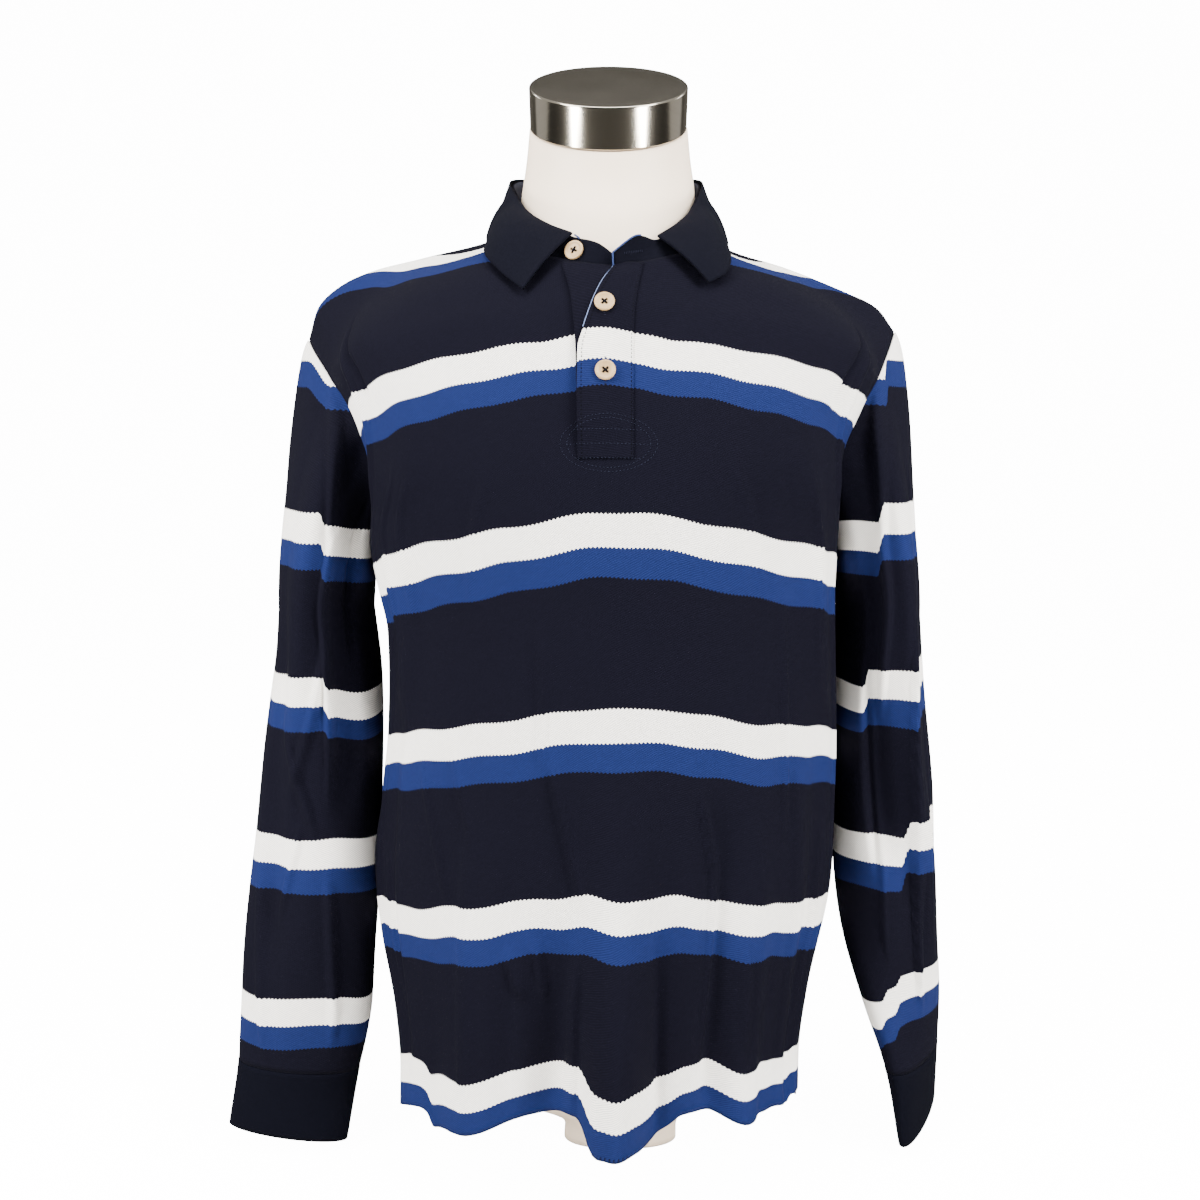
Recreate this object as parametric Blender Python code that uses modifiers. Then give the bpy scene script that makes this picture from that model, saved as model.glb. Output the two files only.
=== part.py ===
"""Long-sleeved polo shirt worn by a limbless dress form with a steel neck cap.

Metres. +Z is up, the front of the shirt faces -Y and the wearer's right is at -X.
The form stands on its flat base at Z = 0.
"""

import math

import bmesh
import bpy
from mathutils import Matrix, Vector

# Sizes in metres
CLOTH = 0.0015
RIB_CLOTH = 0.0020
SEAM_GAP = 0.0006
TOP_GAP = 0.0016
ARMHOLE_GAP = 0.0036
LAYER_GAP = 0.0009
CUFF_GAP = 0.0002
BUTTON_GAP = 0.0001
NECK_POINT_ANGLE = math.radians(104.5)
NECK_POINT_U = 0.245
ARMPIT_V = 0.433
SHOULDER_V = 0.645
NECK_V = 0.700
SLIT_FOOT_V = 0.470
SLIT_HALF = 0.0015

# Grid counts: cells across and along each piece
FRONT_CELLS = (36, 28)
BACK_CELLS = (24, 20)
SLEEVE_CELLS = (20, 20)
CUFF_CELLS = (20, 3)
STAND_CELLS = (34, 2)
COLLAR_CELLS = (34, 4)
PLACKET_CELLS = (4, 14)
FORM_SEGMENTS = 32

# Front panel, a row per height of cloth above the hem:
# height of cloth, centre Z, drop at the sides, half width toward -X and toward +X,
# depth at the centre, Y of the side edge, roundness of the section
FRONT_ROWS = (
    (0.000, 0.084, 0.040, 0.162, 0.151, 0.122, -0.034, 0.95),
    (0.043, 0.123, 0.040, 0.164, 0.154, 0.124, -0.016, 0.92),
    (0.100, 0.180, 0.038, 0.171, 0.163, 0.126, -0.003, 0.88),
    (0.172, 0.250, 0.037, 0.177, 0.174, 0.129, 0.000, 0.85),
    (0.250, 0.332, 0.042, 0.172, 0.176, 0.132, 0.000, 0.82),
    (0.301, 0.385, 0.045, 0.166, 0.176, 0.135, 0.000, 0.80),
    (0.370, 0.458, 0.046, 0.165, 0.174, 0.138, 0.000, 0.80),
    (0.400, 0.490, 0.046, 0.172, 0.174, 0.140, 0.000, 0.80),
    (0.433, 0.522, 0.044, 0.178, 0.175, 0.140, -0.002, 0.80),
    (0.475, 0.562, 0.050, 0.172, 0.171, 0.137, -0.036, 0.82),
    (0.525, 0.607, 0.050, 0.174, 0.172, 0.128, -0.048, 0.90),
    (0.559, 0.637, 0.045, 0.189, 0.187, 0.116, -0.045, 1.05),
    (0.582, 0.657, 0.045, 0.202, 0.200, 0.106, -0.033, 1.20),
    (0.645, 0.704, 0.059, 0.226, 0.219, 0.062, 0.000, 1.80),
    (0.700, 0.730, 0.066, 0.230, 0.223, 0.010, 0.018, 2.20),
)
# Back panel, same columns
BACK_ROWS = (
    (0.000, 0.036, 0.004, 0.166, 0.157, 0.120, 0.004, 0.85),
    (0.043, 0.088, 0.006, 0.166, 0.157, 0.121, 0.002, 0.85),
    (0.100, 0.149, 0.007, 0.171, 0.163, 0.122, 0.000, 0.83),
    (0.172, 0.224, 0.011, 0.177, 0.174, 0.122, 0.000, 0.80),
    (0.250, 0.303, 0.013, 0.172, 0.176, 0.116, 0.000, 0.80),
    (0.301, 0.354, 0.014, 0.166, 0.176, 0.112, 0.000, 0.80),
    (0.370, 0.428, 0.016, 0.165, 0.174, 0.114, 0.000, 0.78),
    (0.400, 0.460, 0.016, 0.172, 0.174, 0.116, 0.000, 0.78),
    (0.433, 0.494, 0.016, 0.178, 0.175, 0.118, 0.002, 0.78),
    (0.475, 0.536, 0.024, 0.174, 0.173, 0.121, 0.038, 0.80),
    (0.525, 0.586, 0.029, 0.176, 0.174, 0.122, 0.053, 0.85),
    (0.559, 0.619, 0.027, 0.190, 0.188, 0.119, 0.050, 0.95),
    (0.582, 0.641, 0.029, 0.203, 0.201, 0.114, 0.038, 1.05),
    (0.645, 0.699, 0.054, 0.226, 0.219, 0.090, 0.000, 1.45),
    (0.700, 0.741, 0.066, 0.230, 0.223, 0.062, -0.018, 2.00),
)
# Shoulder seam from the neck out: share of the way, X and Z on the -X side,
# X and Z on the +X side, Y
SHOULDER_ROWS = (
    (0.00, 0.0755, 0.7254, 0.0755, 0.7254, 0.012),
    (0.12, 0.0920, 0.7165, 0.0920, 0.7120, 0.010),
    (0.45, 0.1390, 0.7045, 0.1370, 0.6970, 0.006),
    (0.80, 0.1900, 0.6895, 0.1850, 0.6775, 0.002),
    (0.92, 0.2165, 0.6700, 0.2060, 0.6665, 0.001),
    (1.00, 0.2255, 0.6430, 0.2190, 0.6490, 0.000),
)
# Height of cloth along the front neckline and the back neckline: share out, height
FRONT_NECK_ROWS = ((0.0, 0.612), (0.25, 0.613), (0.5, 0.622), (0.75, 0.654), (1.0, 0.700))
BACK_NECK_ROWS = ((0.0, 0.690), (0.5, 0.691), (1.0, 0.700))

# Large folds of the front: U at the hem and at the top, half width in U,
# outward depth, lowest and highest height of cloth, drop of the hem
FRONT_FOLDS = (
    (0.018, 0.045, 0.130, 0.031, -0.08, 0.300, 0.000),
    (-0.004, 0.020, 0.075, 0.000, -0.08, 0.300, 0.011),
    (0.092, 0.085, 0.120, 0.000, -0.08, 0.300, 0.014),
    (-0.170, -0.110, 0.100, -0.010, -0.02, 0.260, 0.000),
    (-0.440, -0.280, 0.190, 0.010, -0.08, 0.330, 0.014),
    (0.340, 0.300, 0.110, -0.009, -0.02, 0.340, 0.000),
    (0.460, 0.380, 0.110, 0.010, -0.08, 0.330, 0.008),
    (0.760, 0.640, 0.090, -0.007, -0.02, 0.420, 0.000),
    (-0.780, -0.720, 0.090, -0.007, 0.02, 0.450, 0.000),
    (-0.700, -0.550, 0.120, 0.006, 0.30, 0.560, 0.000),
    (0.700, 0.560, 0.120, 0.006, 0.30, 0.560, 0.000),
)
BACK_FOLDS = (
    (0.000, 0.000, 0.150, 0.010, -0.02, 0.350, 0.000),
    (-0.350, -0.250, 0.120, -0.008, -0.02, 0.400, 0.000),
    (0.400, 0.300, 0.130, -0.008, -0.02, 0.380, 0.000),
    (-0.650, -0.500, 0.120, 0.008, 0.02, 0.450, 0.000),
    (0.700, 0.550, 0.110, 0.007, 0.02, 0.450, 0.000),
)

# Sleeves below the armhole: Z, centre outward, centre Y, long half, short half, turn,
# rise of the outer side
RIGHT_SLEEVE_ROWS = (
    (0.440, 0.2155, -0.006, 0.0345, 0.0560, 0.0, 0.000),
    (0.387, 0.2160, -0.010, 0.0400, 0.0520, 0.0, 0.000),
    (0.320, 0.2205, -0.014, 0.0455, 0.0460, 0.0, 0.000),
    (0.257, 0.2265, -0.018, 0.0480, 0.0400, 0.0, 0.001),
    (0.190, 0.2318, -0.020, 0.0500, 0.0330, 0.0, 0.002),
    (0.126, 0.2375, -0.020, 0.0515, 0.0260, 0.0, 0.003),
    (0.074, 0.2455, -0.020, 0.0475, 0.0190, 0.0, 0.004),
    (0.016, 0.2560, -0.020, 0.0465, 0.0130, 0.0, 0.007),
)
LEFT_SLEEVE_ROWS = (
    (0.440, 0.2105, -0.004, 0.0295, 0.0570, 0.0, 0.000),
    (0.387, 0.2125, -0.006, 0.0335, 0.0540, 0.0, 0.000),
    (0.320, 0.2160, -0.008, 0.0365, 0.0480, -4.0, 0.000),
    (0.257, 0.2195, -0.010, 0.0390, 0.0420, -14.0, 0.000),
    (0.190, 0.2270, -0.010, 0.0410, 0.0320, -28.0, 0.000),
    (0.126, 0.2385, -0.006, 0.0430, 0.0220, -44.0, 0.000),
    (0.074, 0.2500, -0.002, 0.0465, 0.0150, -58.0, 0.000),
    (0.016, 0.2575, 0.003, 0.0465, 0.0085, -62.0, 0.004),
)
# Sleeve ridges: angle round the sleeve at the top and the foot, half width, depth, Z from and to
RIGHT_RIDGES = (
    (80.0, 70.0, 24.0, 0.008, 0.700, 0.330),
    (120.0, 125.0, 26.0, -0.006, 0.560, 0.250),
    (250.0, 262.0, 30.0, 0.006, 0.620, 0.200),
    (48.0, 60.0, 22.0, -0.004, 0.480, 0.130),
)
LEFT_RIDGES = (
    (62.0, 76.0, 22.0, 0.008, 0.640, 0.130),
    (108.0, 112.0, 24.0, -0.006, 0.520, 0.220),
    (255.0, 250.0, 30.0, 0.006, 0.620, 0.200),
    (30.0, 34.0, 20.0, -0.004, 0.460, 0.120),
)
CUFF_TOP_Z = 0.074
CUFF_FOOT_Z = 0.016
# Sleeve head: its share of the length, how far it leaves the armhole outward and down,
# how far it arrives at the first section outward, and how steeply for each metre of height
HEAD_SHARE = 0.40
HEAD_OUT = 0.016
HEAD_OUT_CROWN = 0.022
HEAD_DOWN = 0.045
HEAD_DOWN_CROWN = 0.010
HEAD_ARRIVE = 0.010
HEAD_STEEP = 1.05
HEAD_LEAST = 0.03

# Collar: place round the neck (0 back, -1 and 1 the two front ends), fold X Y Z, edge X Y Z
COLLAR_ROWS = (
    (-1.00, -0.0232, -0.0785, 0.7080, -0.0570, -0.1010, 0.6690),
    (-0.85, -0.0400, -0.0640, 0.7165, -0.0735, -0.0760, 0.6830),
    (-0.70, -0.0550, -0.0420, 0.7290, -0.0860, -0.0350, 0.6990),
    (-0.55, -0.0665, -0.0120, 0.7480, -0.0895, 0.0010, 0.7205),
    (-0.35, -0.0705, 0.0300, 0.7665, -0.0820, 0.0480, 0.7250),
    (-0.17, -0.0450, 0.0660, 0.7740, -0.0500, 0.0850, 0.7280),
    (0.00, 0.0000, 0.0790, 0.7760, 0.0000, 0.0975, 0.7290),
    (0.17, 0.0450, 0.0660, 0.7740, 0.0500, 0.0850, 0.7280),
    (0.35, 0.0705, 0.0300, 0.7665, 0.0830, 0.0480, 0.7230),
    (0.55, 0.0680, -0.0120, 0.7480, 0.0915, 0.0010, 0.7165),
    (0.70, 0.0585, -0.0400, 0.7290, 0.0885, -0.0330, 0.6985),
    (0.85, 0.0470, -0.0620, 0.7160, 0.0835, -0.0700, 0.6830),
    (1.00, 0.0347, -0.0765, 0.7065, 0.0702, -0.0960, 0.6740),
)
# Stand beyond the collar ends: place round the neck, top X Y Z
STAND_END_ROWS = (
    (-1.30, 0.0035, -0.0905, 0.6925),
    (-1.18, -0.0060, -0.0875, 0.7000),
    (1.18, 0.0240, -0.0850, 0.7050),
    (1.30, 0.0065, -0.0900, 0.6935),
)
COLLAR_LIFT = 0.0072
# Collar leaf: clear of the stand outward and upward at the fold, bulge of its middle outward
# all round and at the front, rise all round and where it crosses the shoulder seam
FOLD_OUT = 0.0012
FOLD_UP = 0.0010
LEAF_BULGE = 0.0010
LEAF_FRONT_BULGE = 0.0050
LEAF_RISE = 0.0020
LEAF_SHOULDER_RISE = 0.0110
LEAF_SHOULDER_PLACE = 0.70
LEAF_SHOULDER_HALF = 0.26
STAND_FOOT_RISE = 0.0016
STAND_TOP_DROP = 0.0012
STAND_FRONT_ANGLE = math.radians(17.0)
STAND_END_ANGLE = math.radians(4.0)

# Plackets: height of cloth, X of both edges of the upper one, X of both edges of the under one
PLACKET_ROWS = (
    (0.455, -0.0190, 0.0176, -0.0190, 0.0120),
    (0.545, -0.0190, 0.0176, -0.0205, 0.0120),
    (0.560, -0.0150, 0.0180, -0.0215, 0.0125),
    (0.575, -0.0100, 0.0190, -0.0230, 0.0135),
    (0.592, -0.0035, 0.0215, -0.0260, 0.0150),
    (0.607, 0.0040, 0.0245, -0.0300, 0.0160),
)
UNDER_PLACKET_FOOT_V = 0.500

# Buttons: X, height of cloth on the placket
BUTTON_RADIUS = 0.0069
BUTTON_THICK = 0.0024
BUTTON_RIM = 0.0012
BUTTON_DISH = 0.0007
HOLE_RADIUS = 0.0008
HOLE_PITCH = 0.0013
PLACKET_BUTTONS = (("button_middle", -0.0015, 0.576), ("button_lower", -0.0010, 0.529))
STAND_BUTTON_PLACE = -1.0

# Dress form: Z, half width, front depth, back depth, neck radius, tilt, centre X
FORM_ROWS = (
    (0.000, 0.046, 0.022, 0.090, 0.010, 0.00, 0.012),
    (0.018, 0.048, 0.023, 0.092, 0.010, 0.00, 0.012),
    (0.030, 0.068, 0.030, 0.098, 0.010, 0.00, 0.008),
    (0.044, 0.106, 0.042, 0.104, 0.010, 0.00, 0.003),
    (0.080, 0.142, 0.070, 0.109, 0.010, 0.00, 0.000),
    (0.130, 0.153, 0.084, 0.111, 0.010, 0.00, 0.001),
    (0.200, 0.157, 0.086, 0.111, 0.010, 0.00, 0.001),
    (0.330, 0.146, 0.090, 0.100, 0.010, 0.00, 0.002),
    (0.450, 0.153, 0.110, 0.102, 0.010, 0.00, 0.001),
    (0.520, 0.157, 0.122, 0.106, 0.020, 0.00, 0.001),
    (0.570, 0.161, 0.118, 0.108, 0.040, 0.00, 0.000),
    (0.610, 0.174, 0.103, 0.101, 0.060, 0.00, 0.000),
    (0.636, 0.180, 0.083, 0.086, 0.070, 0.00, 0.000),
    (0.654, 0.172, 0.064, 0.070, 0.073, 0.00, 0.000),
    (0.668, 0.156, 0.047, 0.056, 0.072, 0.00, 0.000),
    (0.682, 0.130, 0.034, 0.044, 0.071, 0.00, 0.000),
    (0.696, 0.100, 0.024, 0.032, 0.070, 0.00, 0.000),
    (0.712, 0.074, 0.018, 0.024, 0.0675, 0.05, 0.000),
    (0.735, 0.050, 0.015, 0.020, 0.0652, 0.16, 0.001),
    (0.760, 0.040, 0.012, 0.015, 0.0635, 0.34, 0.002),
    (0.780, 0.030, 0.010, 0.012, 0.0612, 0.50, 0.002),
    (0.800, 0.030, 0.010, 0.012, 0.0592, 0.5704, 0.002),
)
FORM_NECK_Y = 0.0075
FORM_SLOPE = 0.038
CAP_RADIUS = 0.0587
CAP_HEIGHT = 0.0300
CAP_CENTRE = (0.0018, -0.0074, 0.8270)
CAP_TILT = math.radians(29.7)
CAP_EDGE = 0.0012


def smooth(rows, column, at):
    """Column's value at a key, on a smooth curve through the rows."""
    keys = [row[0] for row in rows]
    values = [row[column] for row in rows]
    if at <= keys[0]:
        return values[0]
    if at >= keys[-1]:
        return values[-1]
    last = len(keys) - 1
    index = max(i for i in range(last) if keys[i] <= at)
    slopes = []
    for i in (index, index + 1):
        before = max(i - 1, 0)
        after = min(i + 1, last)
        slopes.append((values[after] - values[before]) / (keys[after] - keys[before]))
    step = keys[index + 1] - keys[index]
    t = (at - keys[index]) / step
    return (
        values[index] * (2 * t**3 - 3 * t**2 + 1)
        + slopes[0] * step * (t**3 - 2 * t**2 + t)
        + values[index + 1] * (3 * t**2 - 2 * t**3)
        + slopes[1] * step * (t**3 - t**2)
    )


def ease(low, high, at):
    """0 below low, 1 above high, smooth between."""
    t = min(max((at - low) / (high - low), 0.0), 1.0)
    return t * t * (3 - 2 * t)


def bell(distance, half_width):
    """1 at the middle, 0 at the half width and beyond."""
    t = min(abs(distance) / half_width, 1.0)
    return 0.5 + 0.5 * math.cos(math.pi * t)


def neck_seam(angle):
    """Seam of shirt and stand: angle 0 at the front, pi at the back, positive to +X."""
    rise = abs(math.sin(angle / 2)) ** 1.5
    return Vector((
        0.002 + 0.078 * math.sin(angle),
        -0.008 - 0.080 * math.cos(angle),
        0.686 + 0.056 * rise,
    ))


def shoulder_seam(share, side):
    """Point of the shoulder seam, share 0 at the neck and 1 at the sleeve."""
    columns = (1, 2) if side < 0 else (3, 4)
    return Vector((
        side * smooth(SHOULDER_ROWS, columns[0], share),
        smooth(SHOULDER_ROWS, 5, share),
        smooth(SHOULDER_ROWS, columns[1], share),
    ))


def panel_top(u, is_front):
    """Height of cloth at the top edge and the point it is sewn to."""
    side = -1 if u < 0 else 1
    out = abs(u)
    if out < NECK_POINT_U:
        share = out / NECK_POINT_U
        rows = FRONT_NECK_ROWS if is_front else BACK_NECK_ROWS
        if is_front:
            angle = share**1.5 * NECK_POINT_ANGLE
        else:
            angle = math.pi - share * (math.pi - NECK_POINT_ANGLE)
        return smooth(rows, 1, share), neck_seam(side * angle)
    share = (out - NECK_POINT_U) / (1 - NECK_POINT_U)
    height = NECK_V + (SHOULDER_V - NECK_V) * share
    return height, shoulder_seam(share, side)


def panel_base(u, v, is_front):
    """Point of the smooth panel before folds and top edge."""
    rows = FRONT_ROWS if is_front else BACK_ROWS
    half = smooth(rows, 3 if u < 0 else 4, v)
    depth = smooth(rows, 5, v)
    edge = smooth(rows, 6, v)
    power = smooth(rows, 7, v)
    facing = -1 if is_front else 1
    turn = u * math.pi / 2
    crown = max(math.cos(turn), 0.0) ** power
    return Vector((
        half * math.sin(turn),
        edge + (facing * depth - edge) * crown,
        smooth(rows, 1, v) - smooth(rows, 2, v) * u * u,
    ))


def fold_depth(folds, u, v):
    """Outward depth and drop of all folds at a place on the panel."""
    depth = 0.0
    drop = 0.0
    for u_low, u_high, half, size, low, high, hem_drop in folds:
        share = min(max((v - low) / (high - low), 0.0), 1.0)
        centre = u_low + (u_high - u_low) * share
        strength = bell(u - centre, half) * (1 - ease(0.15, 1.0, share))
        strength *= ease(low - 0.01, low + 0.04, v)
        depth += size * strength
        drop += hem_drop * strength
    return depth, drop


def panel_point(u, v, is_front, lift=0.0):
    """Point of a panel with its folds, lifted outward."""
    top, seam = panel_top(u, is_front)
    point = panel_base(u, v, is_front)
    near_top = ease(top - 0.090, top, v)
    point += (seam - panel_base(u, top, is_front)) * near_top
    folds = FRONT_FOLDS if is_front else BACK_FOLDS
    depth, drop = fold_depth(folds, u, v)
    fade = 1 - ease(0.92, 1.0, abs(u))
    facing = -1 if is_front else 1
    turn = u * math.pi / 2
    out = Vector((math.sin(turn), facing * math.cos(turn), 0.0))
    point += out * (depth * fade)
    point.z -= drop * fade
    if lift:
        point += panel_normal(u, v, is_front) * lift
    return point


def panel_normal(u, v, is_front):
    """Outward direction of a panel."""
    step_u = 0.01
    step_v = 0.004
    across = panel_point(u + step_u, v, is_front) - panel_point(u - step_u, v, is_front)
    along = panel_point(u, v + step_v, is_front) - panel_point(u, v - step_v, is_front)
    normal = across.cross(along).normalized()
    return normal if is_front else -normal


def front_u(x, v):
    """Place across the front panel whose X is given."""
    low, high = -0.9, 0.9
    for _ in range(24):
        middle = (low + high) / 2
        if panel_point(middle, v, True).x < x:
            low = middle
        else:
            high = middle
    return (low + high) / 2


def front_face(x, z):
    """Point of the front panel whose X and Z are given."""
    low, high = 0.30, 0.69
    for _ in range(20):
        v = (low + high) / 2
        u = front_u(x, v)
        point = panel_point(u, v, True)
        if point.z < z:
            low = v
        else:
            high = v
    return point


def armhole(share, side, is_front):
    """Armhole point, share 0 at the shoulder and 1 at the armpit."""
    v = SHOULDER_V + (ARMPIT_V - SHOULDER_V) * share
    return panel_point(float(side), v, is_front)


def sleeve_ring(rows, z, angle, side):
    """Point of a level sleeve section; angle 0 outward, 90 degrees front."""
    ordered = tuple(reversed(rows))
    centre = smooth(ordered, 1, z)
    centre_y = smooth(ordered, 2, z)
    long_half = smooth(ordered, 3, z)
    short_half = smooth(ordered, 4, z)
    turn = math.radians(smooth(ordered, 5, z))
    along = long_half * math.cos(angle)
    across = short_half * math.sin(angle)
    out = centre + along * math.cos(turn) - across * math.sin(turn)
    y = centre_y - along * math.sin(turn) - across * math.cos(turn)
    return Vector((side * out, y, z + smooth(ordered, 6, z) * math.cos(angle)))


def sleeve_base(rows, angle, share, side):
    """Point of the smooth sleeve; share 0 at the armhole and 1 at the cuff seam."""
    head_z = rows[0][0]
    is_front = angle <= math.pi
    around = angle / math.pi if is_front else (2 * math.pi - angle) / math.pi
    if share >= HEAD_SHARE:
        t = (share - HEAD_SHARE) / (1 - HEAD_SHARE)
        return sleeve_ring(rows, head_z + (CUFF_TOP_Z + CUFF_GAP - head_z) * t, angle, side)
    t = share / HEAD_SHARE
    start = armhole(around, side, is_front)
    end = sleeve_ring(rows, head_z, angle, side)
    outward = 0.5 + 0.5 * math.cos(angle)
    leave = Vector((
        side * (HEAD_OUT + HEAD_OUT_CROWN * outward),
        0.0,
        -HEAD_DOWN - HEAD_DOWN_CROWN * outward,
    ))
    start.x += side * ARMHOLE_GAP
    arrive = Vector((side * HEAD_ARRIVE, 0.0, -HEAD_LEAST - HEAD_STEEP * (start.z - end.z)))
    return (
        start * (2 * t**3 - 3 * t**2 + 1)
        + leave * (t**3 - 2 * t**2 + t)
        + end * (3 * t**2 - 2 * t**3)
        + arrive * (t**3 - t**2)
    )


def sleeve_point(rows, ridges, angle, share, side):
    """Point of a sleeve with its ridges."""
    point = sleeve_base(rows, angle, share, side)
    depth = 0.0
    for top_angle, foot_angle, half, size, high, low in ridges:
        along = min(max((high - point.z) / (high - low), 0.0), 1.0)
        middle = math.radians(top_angle + (foot_angle - top_angle) * along)
        strength = ease(0.0, 0.25, along) * (1 - ease(0.75, 1.0, along))
        depth += size * strength * bell(angle - middle, math.radians(half))
    ordered = tuple(reversed(rows))
    z = min(max(point.z, CUFF_FOOT_Z), rows[0][0])
    axis = Vector((side * smooth(ordered, 1, z), smooth(ordered, 2, z), point.z))
    out = point - axis
    if out.length > 0:
        point += out.normalized() * depth
    return point


def cuff_point(rows, angle, share, side):
    """Point of a cuff; share 0 at the sleeve seam and 1 at the open end."""
    top = CUFF_TOP_Z - CUFF_GAP
    return sleeve_ring(rows, top + (CUFF_FOOT_Z - top) * share, angle, side)


def neck_angle(place):
    """Angle of the neck seam at a place round the collar."""
    out = abs(place)
    if out <= 1:
        angle = math.pi - (math.pi - STAND_FRONT_ANGLE) * out
    else:
        angle = STAND_FRONT_ANGLE + (STAND_END_ANGLE - STAND_FRONT_ANGLE) * (out - 1) / 0.3
    return math.copysign(angle, place)


STAND_ROWS = (
    STAND_END_ROWS[:2]
    + tuple(row[:4] for row in COLLAR_ROWS)
    + STAND_END_ROWS[2:]
)


def fold_line(place):
    """Top of the stand, where the collar turns over."""
    return Vector([smooth(STAND_ROWS, column, place) for column in (1, 2, 3)])


def stand_point(place, share):
    """Point of the stand, share 0 at its foot and 1 at its top."""
    foot = neck_seam(neck_angle(place)) + Vector((0.0, 0.0, STAND_FOOT_RISE))
    top = fold_line(place)
    centre = Vector((0.002, 0.0, 0.0))
    inward = centre - Vector((foot.x, foot.y, 0.0))
    inward.normalize()
    top += Vector((0.0, 0.0, -STAND_TOP_DROP)) + inward * STAND_TOP_DROP
    return foot.lerp(top, share)


def collar_point(place, share):
    """Point of the collar leaf, share 0 at the fold and 1 at its outer edge."""
    fold = Vector([smooth(COLLAR_ROWS, column, place) for column in (1, 2, 3)])
    edge = Vector([smooth(COLLAR_ROWS, column, place) for column in (4, 5, 6)])
    front = ease(0.46, 0.60, abs(place))
    if front > 0:
        edge.y += (front_face(edge.x, edge.z).y - COLLAR_LIFT - edge.y) * front
    out = Vector((fold.x - 0.002, fold.y - 0.002, 0.0)).normalized()
    start = fold + out * FOLD_OUT + Vector((0.0, 0.0, FOLD_UP))
    bulge = (start + edge) / 2 + out * (LEAF_BULGE + LEAF_FRONT_BULGE * front)
    shoulder = bell(abs(place) - LEAF_SHOULDER_PLACE, LEAF_SHOULDER_HALF)
    bulge.z += LEAF_RISE + LEAF_SHOULDER_RISE * shoulder
    first = start.lerp(bulge, share)
    second = bulge.lerp(edge, share)
    return first.lerp(second, share)


def material(name, colour, roughness, metallic=0.0):
    """Plain material of one colour."""
    made = bpy.data.materials.new(name)
    made.use_nodes = True
    shader = made.node_tree.nodes["Principled BSDF"]
    shader.inputs["Base Color"].default_value = (*colour, 1.0)
    shader.inputs["Roughness"].default_value = roughness
    shader.inputs["Metallic"].default_value = metallic
    return made


def add_object(name, mesh, look):
    """Mesh as a named part with its material."""
    made = bpy.data.objects.new(name, mesh)
    mesh.materials.append(look)
    collection.objects.link(made)
    return made


def cloth_sheet(name, rows, look, thickness=CLOTH, ring=False, skip=None):
    """Sheet of cloth through rows of points, thickened to both sides."""
    shape = bmesh.new()
    grid = [[shape.verts.new(point) for point in row] for row in rows]
    count = len(rows[0])
    for i in range(len(rows) - 1):
        for j in range(count if ring else count - 1):
            if skip and skip(i, j):
                continue
            after = (j + 1) % count
            shape.faces.new((grid[i][j], grid[i][after], grid[i + 1][after], grid[i + 1][j]))
    mesh = bpy.data.meshes.new(name)
    shape.to_mesh(mesh)
    shape.free()
    made = add_object(name, mesh, look)
    thicken = made.modifiers.new("cloth", "SOLIDIFY")
    thicken.thickness = thickness
    thicken.offset = 0.0
    thicken.use_even_offset = True
    thicken.use_rim = True
    for face in mesh.polygons:
        face.use_smooth = True
    return made


def panel_sheet(name, is_front, cells, look):
    """Front or back panel from the hem to its shoulder and neck edges."""
    across, along = cells
    columns = [-1 + 2 * j / across for j in range(across + 1)]
    slit_u = SLIT_HALF / 0.19 / (math.pi / 2)
    if is_front:
        middle = across // 2
        columns = columns[:middle] + [-slit_u, slit_u] + columns[middle + 1:]
    columns[0] = -1 + SEAM_GAP / 0.2
    columns[-1] = 1 - SEAM_GAP / 0.2
    tops = [panel_top(u, is_front)[0] - TOP_GAP for u in columns]
    facing = -1 if is_front else 1
    rows = []
    for i in range(along + 1):
        row = []
        for u, top in zip(columns, tops):
            point = panel_point(u, top * i / along, is_front)
            if abs(u) > 0.98:
                point.y += facing * SEAM_GAP
            row.append(point)
        rows.append(row)

    def slit(i, j):
        return abs(columns[j] + slit_u) < 1e-6 and tops[j] * i / along > SLIT_FOOT_V

    return cloth_sheet(name, rows, look, skip=slit if is_front else None)


def sleeve_sheet(name, rows, ridges, side, look):
    """Sleeve from the armhole to the cuff seam, and its open cuff."""
    around, along = SLEEVE_CELLS
    angles = [2 * math.pi * j / around for j in range(around)]
    points = [
        [sleeve_point(rows, ridges, angle, i / along, side) for angle in angles]
        for i in range(along + 1)
    ]
    return cloth_sheet(name, points, look, ring=True)


def cuff_sheet(name, rows, side, look):
    """Cuff as an open ring below the sleeve."""
    around, along = CUFF_CELLS
    angles = [2 * math.pi * j / around for j in range(around)]
    points = [
        [cuff_point(rows, angle, i / along, side) for angle in angles]
        for i in range(along + 1)
    ]
    return cloth_sheet(name, points, look, thickness=RIB_CLOTH, ring=True)


def placket_sheet(name, foot, columns, lift, look):
    """Placket strip that follows the front panel."""
    across, along = PLACKET_CELLS
    head = PLACKET_ROWS[-1][0]
    points = []
    for i in range(along + 1):
        v = foot + (head - foot) * i / along
        left = smooth(PLACKET_ROWS, columns[0], v)
        right = smooth(PLACKET_ROWS, columns[1], v)
        row = []
        for j in range(across + 1):
            x = left + (right - left) * j / across
            row.append(panel_point(front_u(x, v), v, True, lift))
        points.append(row)
    return cloth_sheet(name, points, look)


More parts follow.
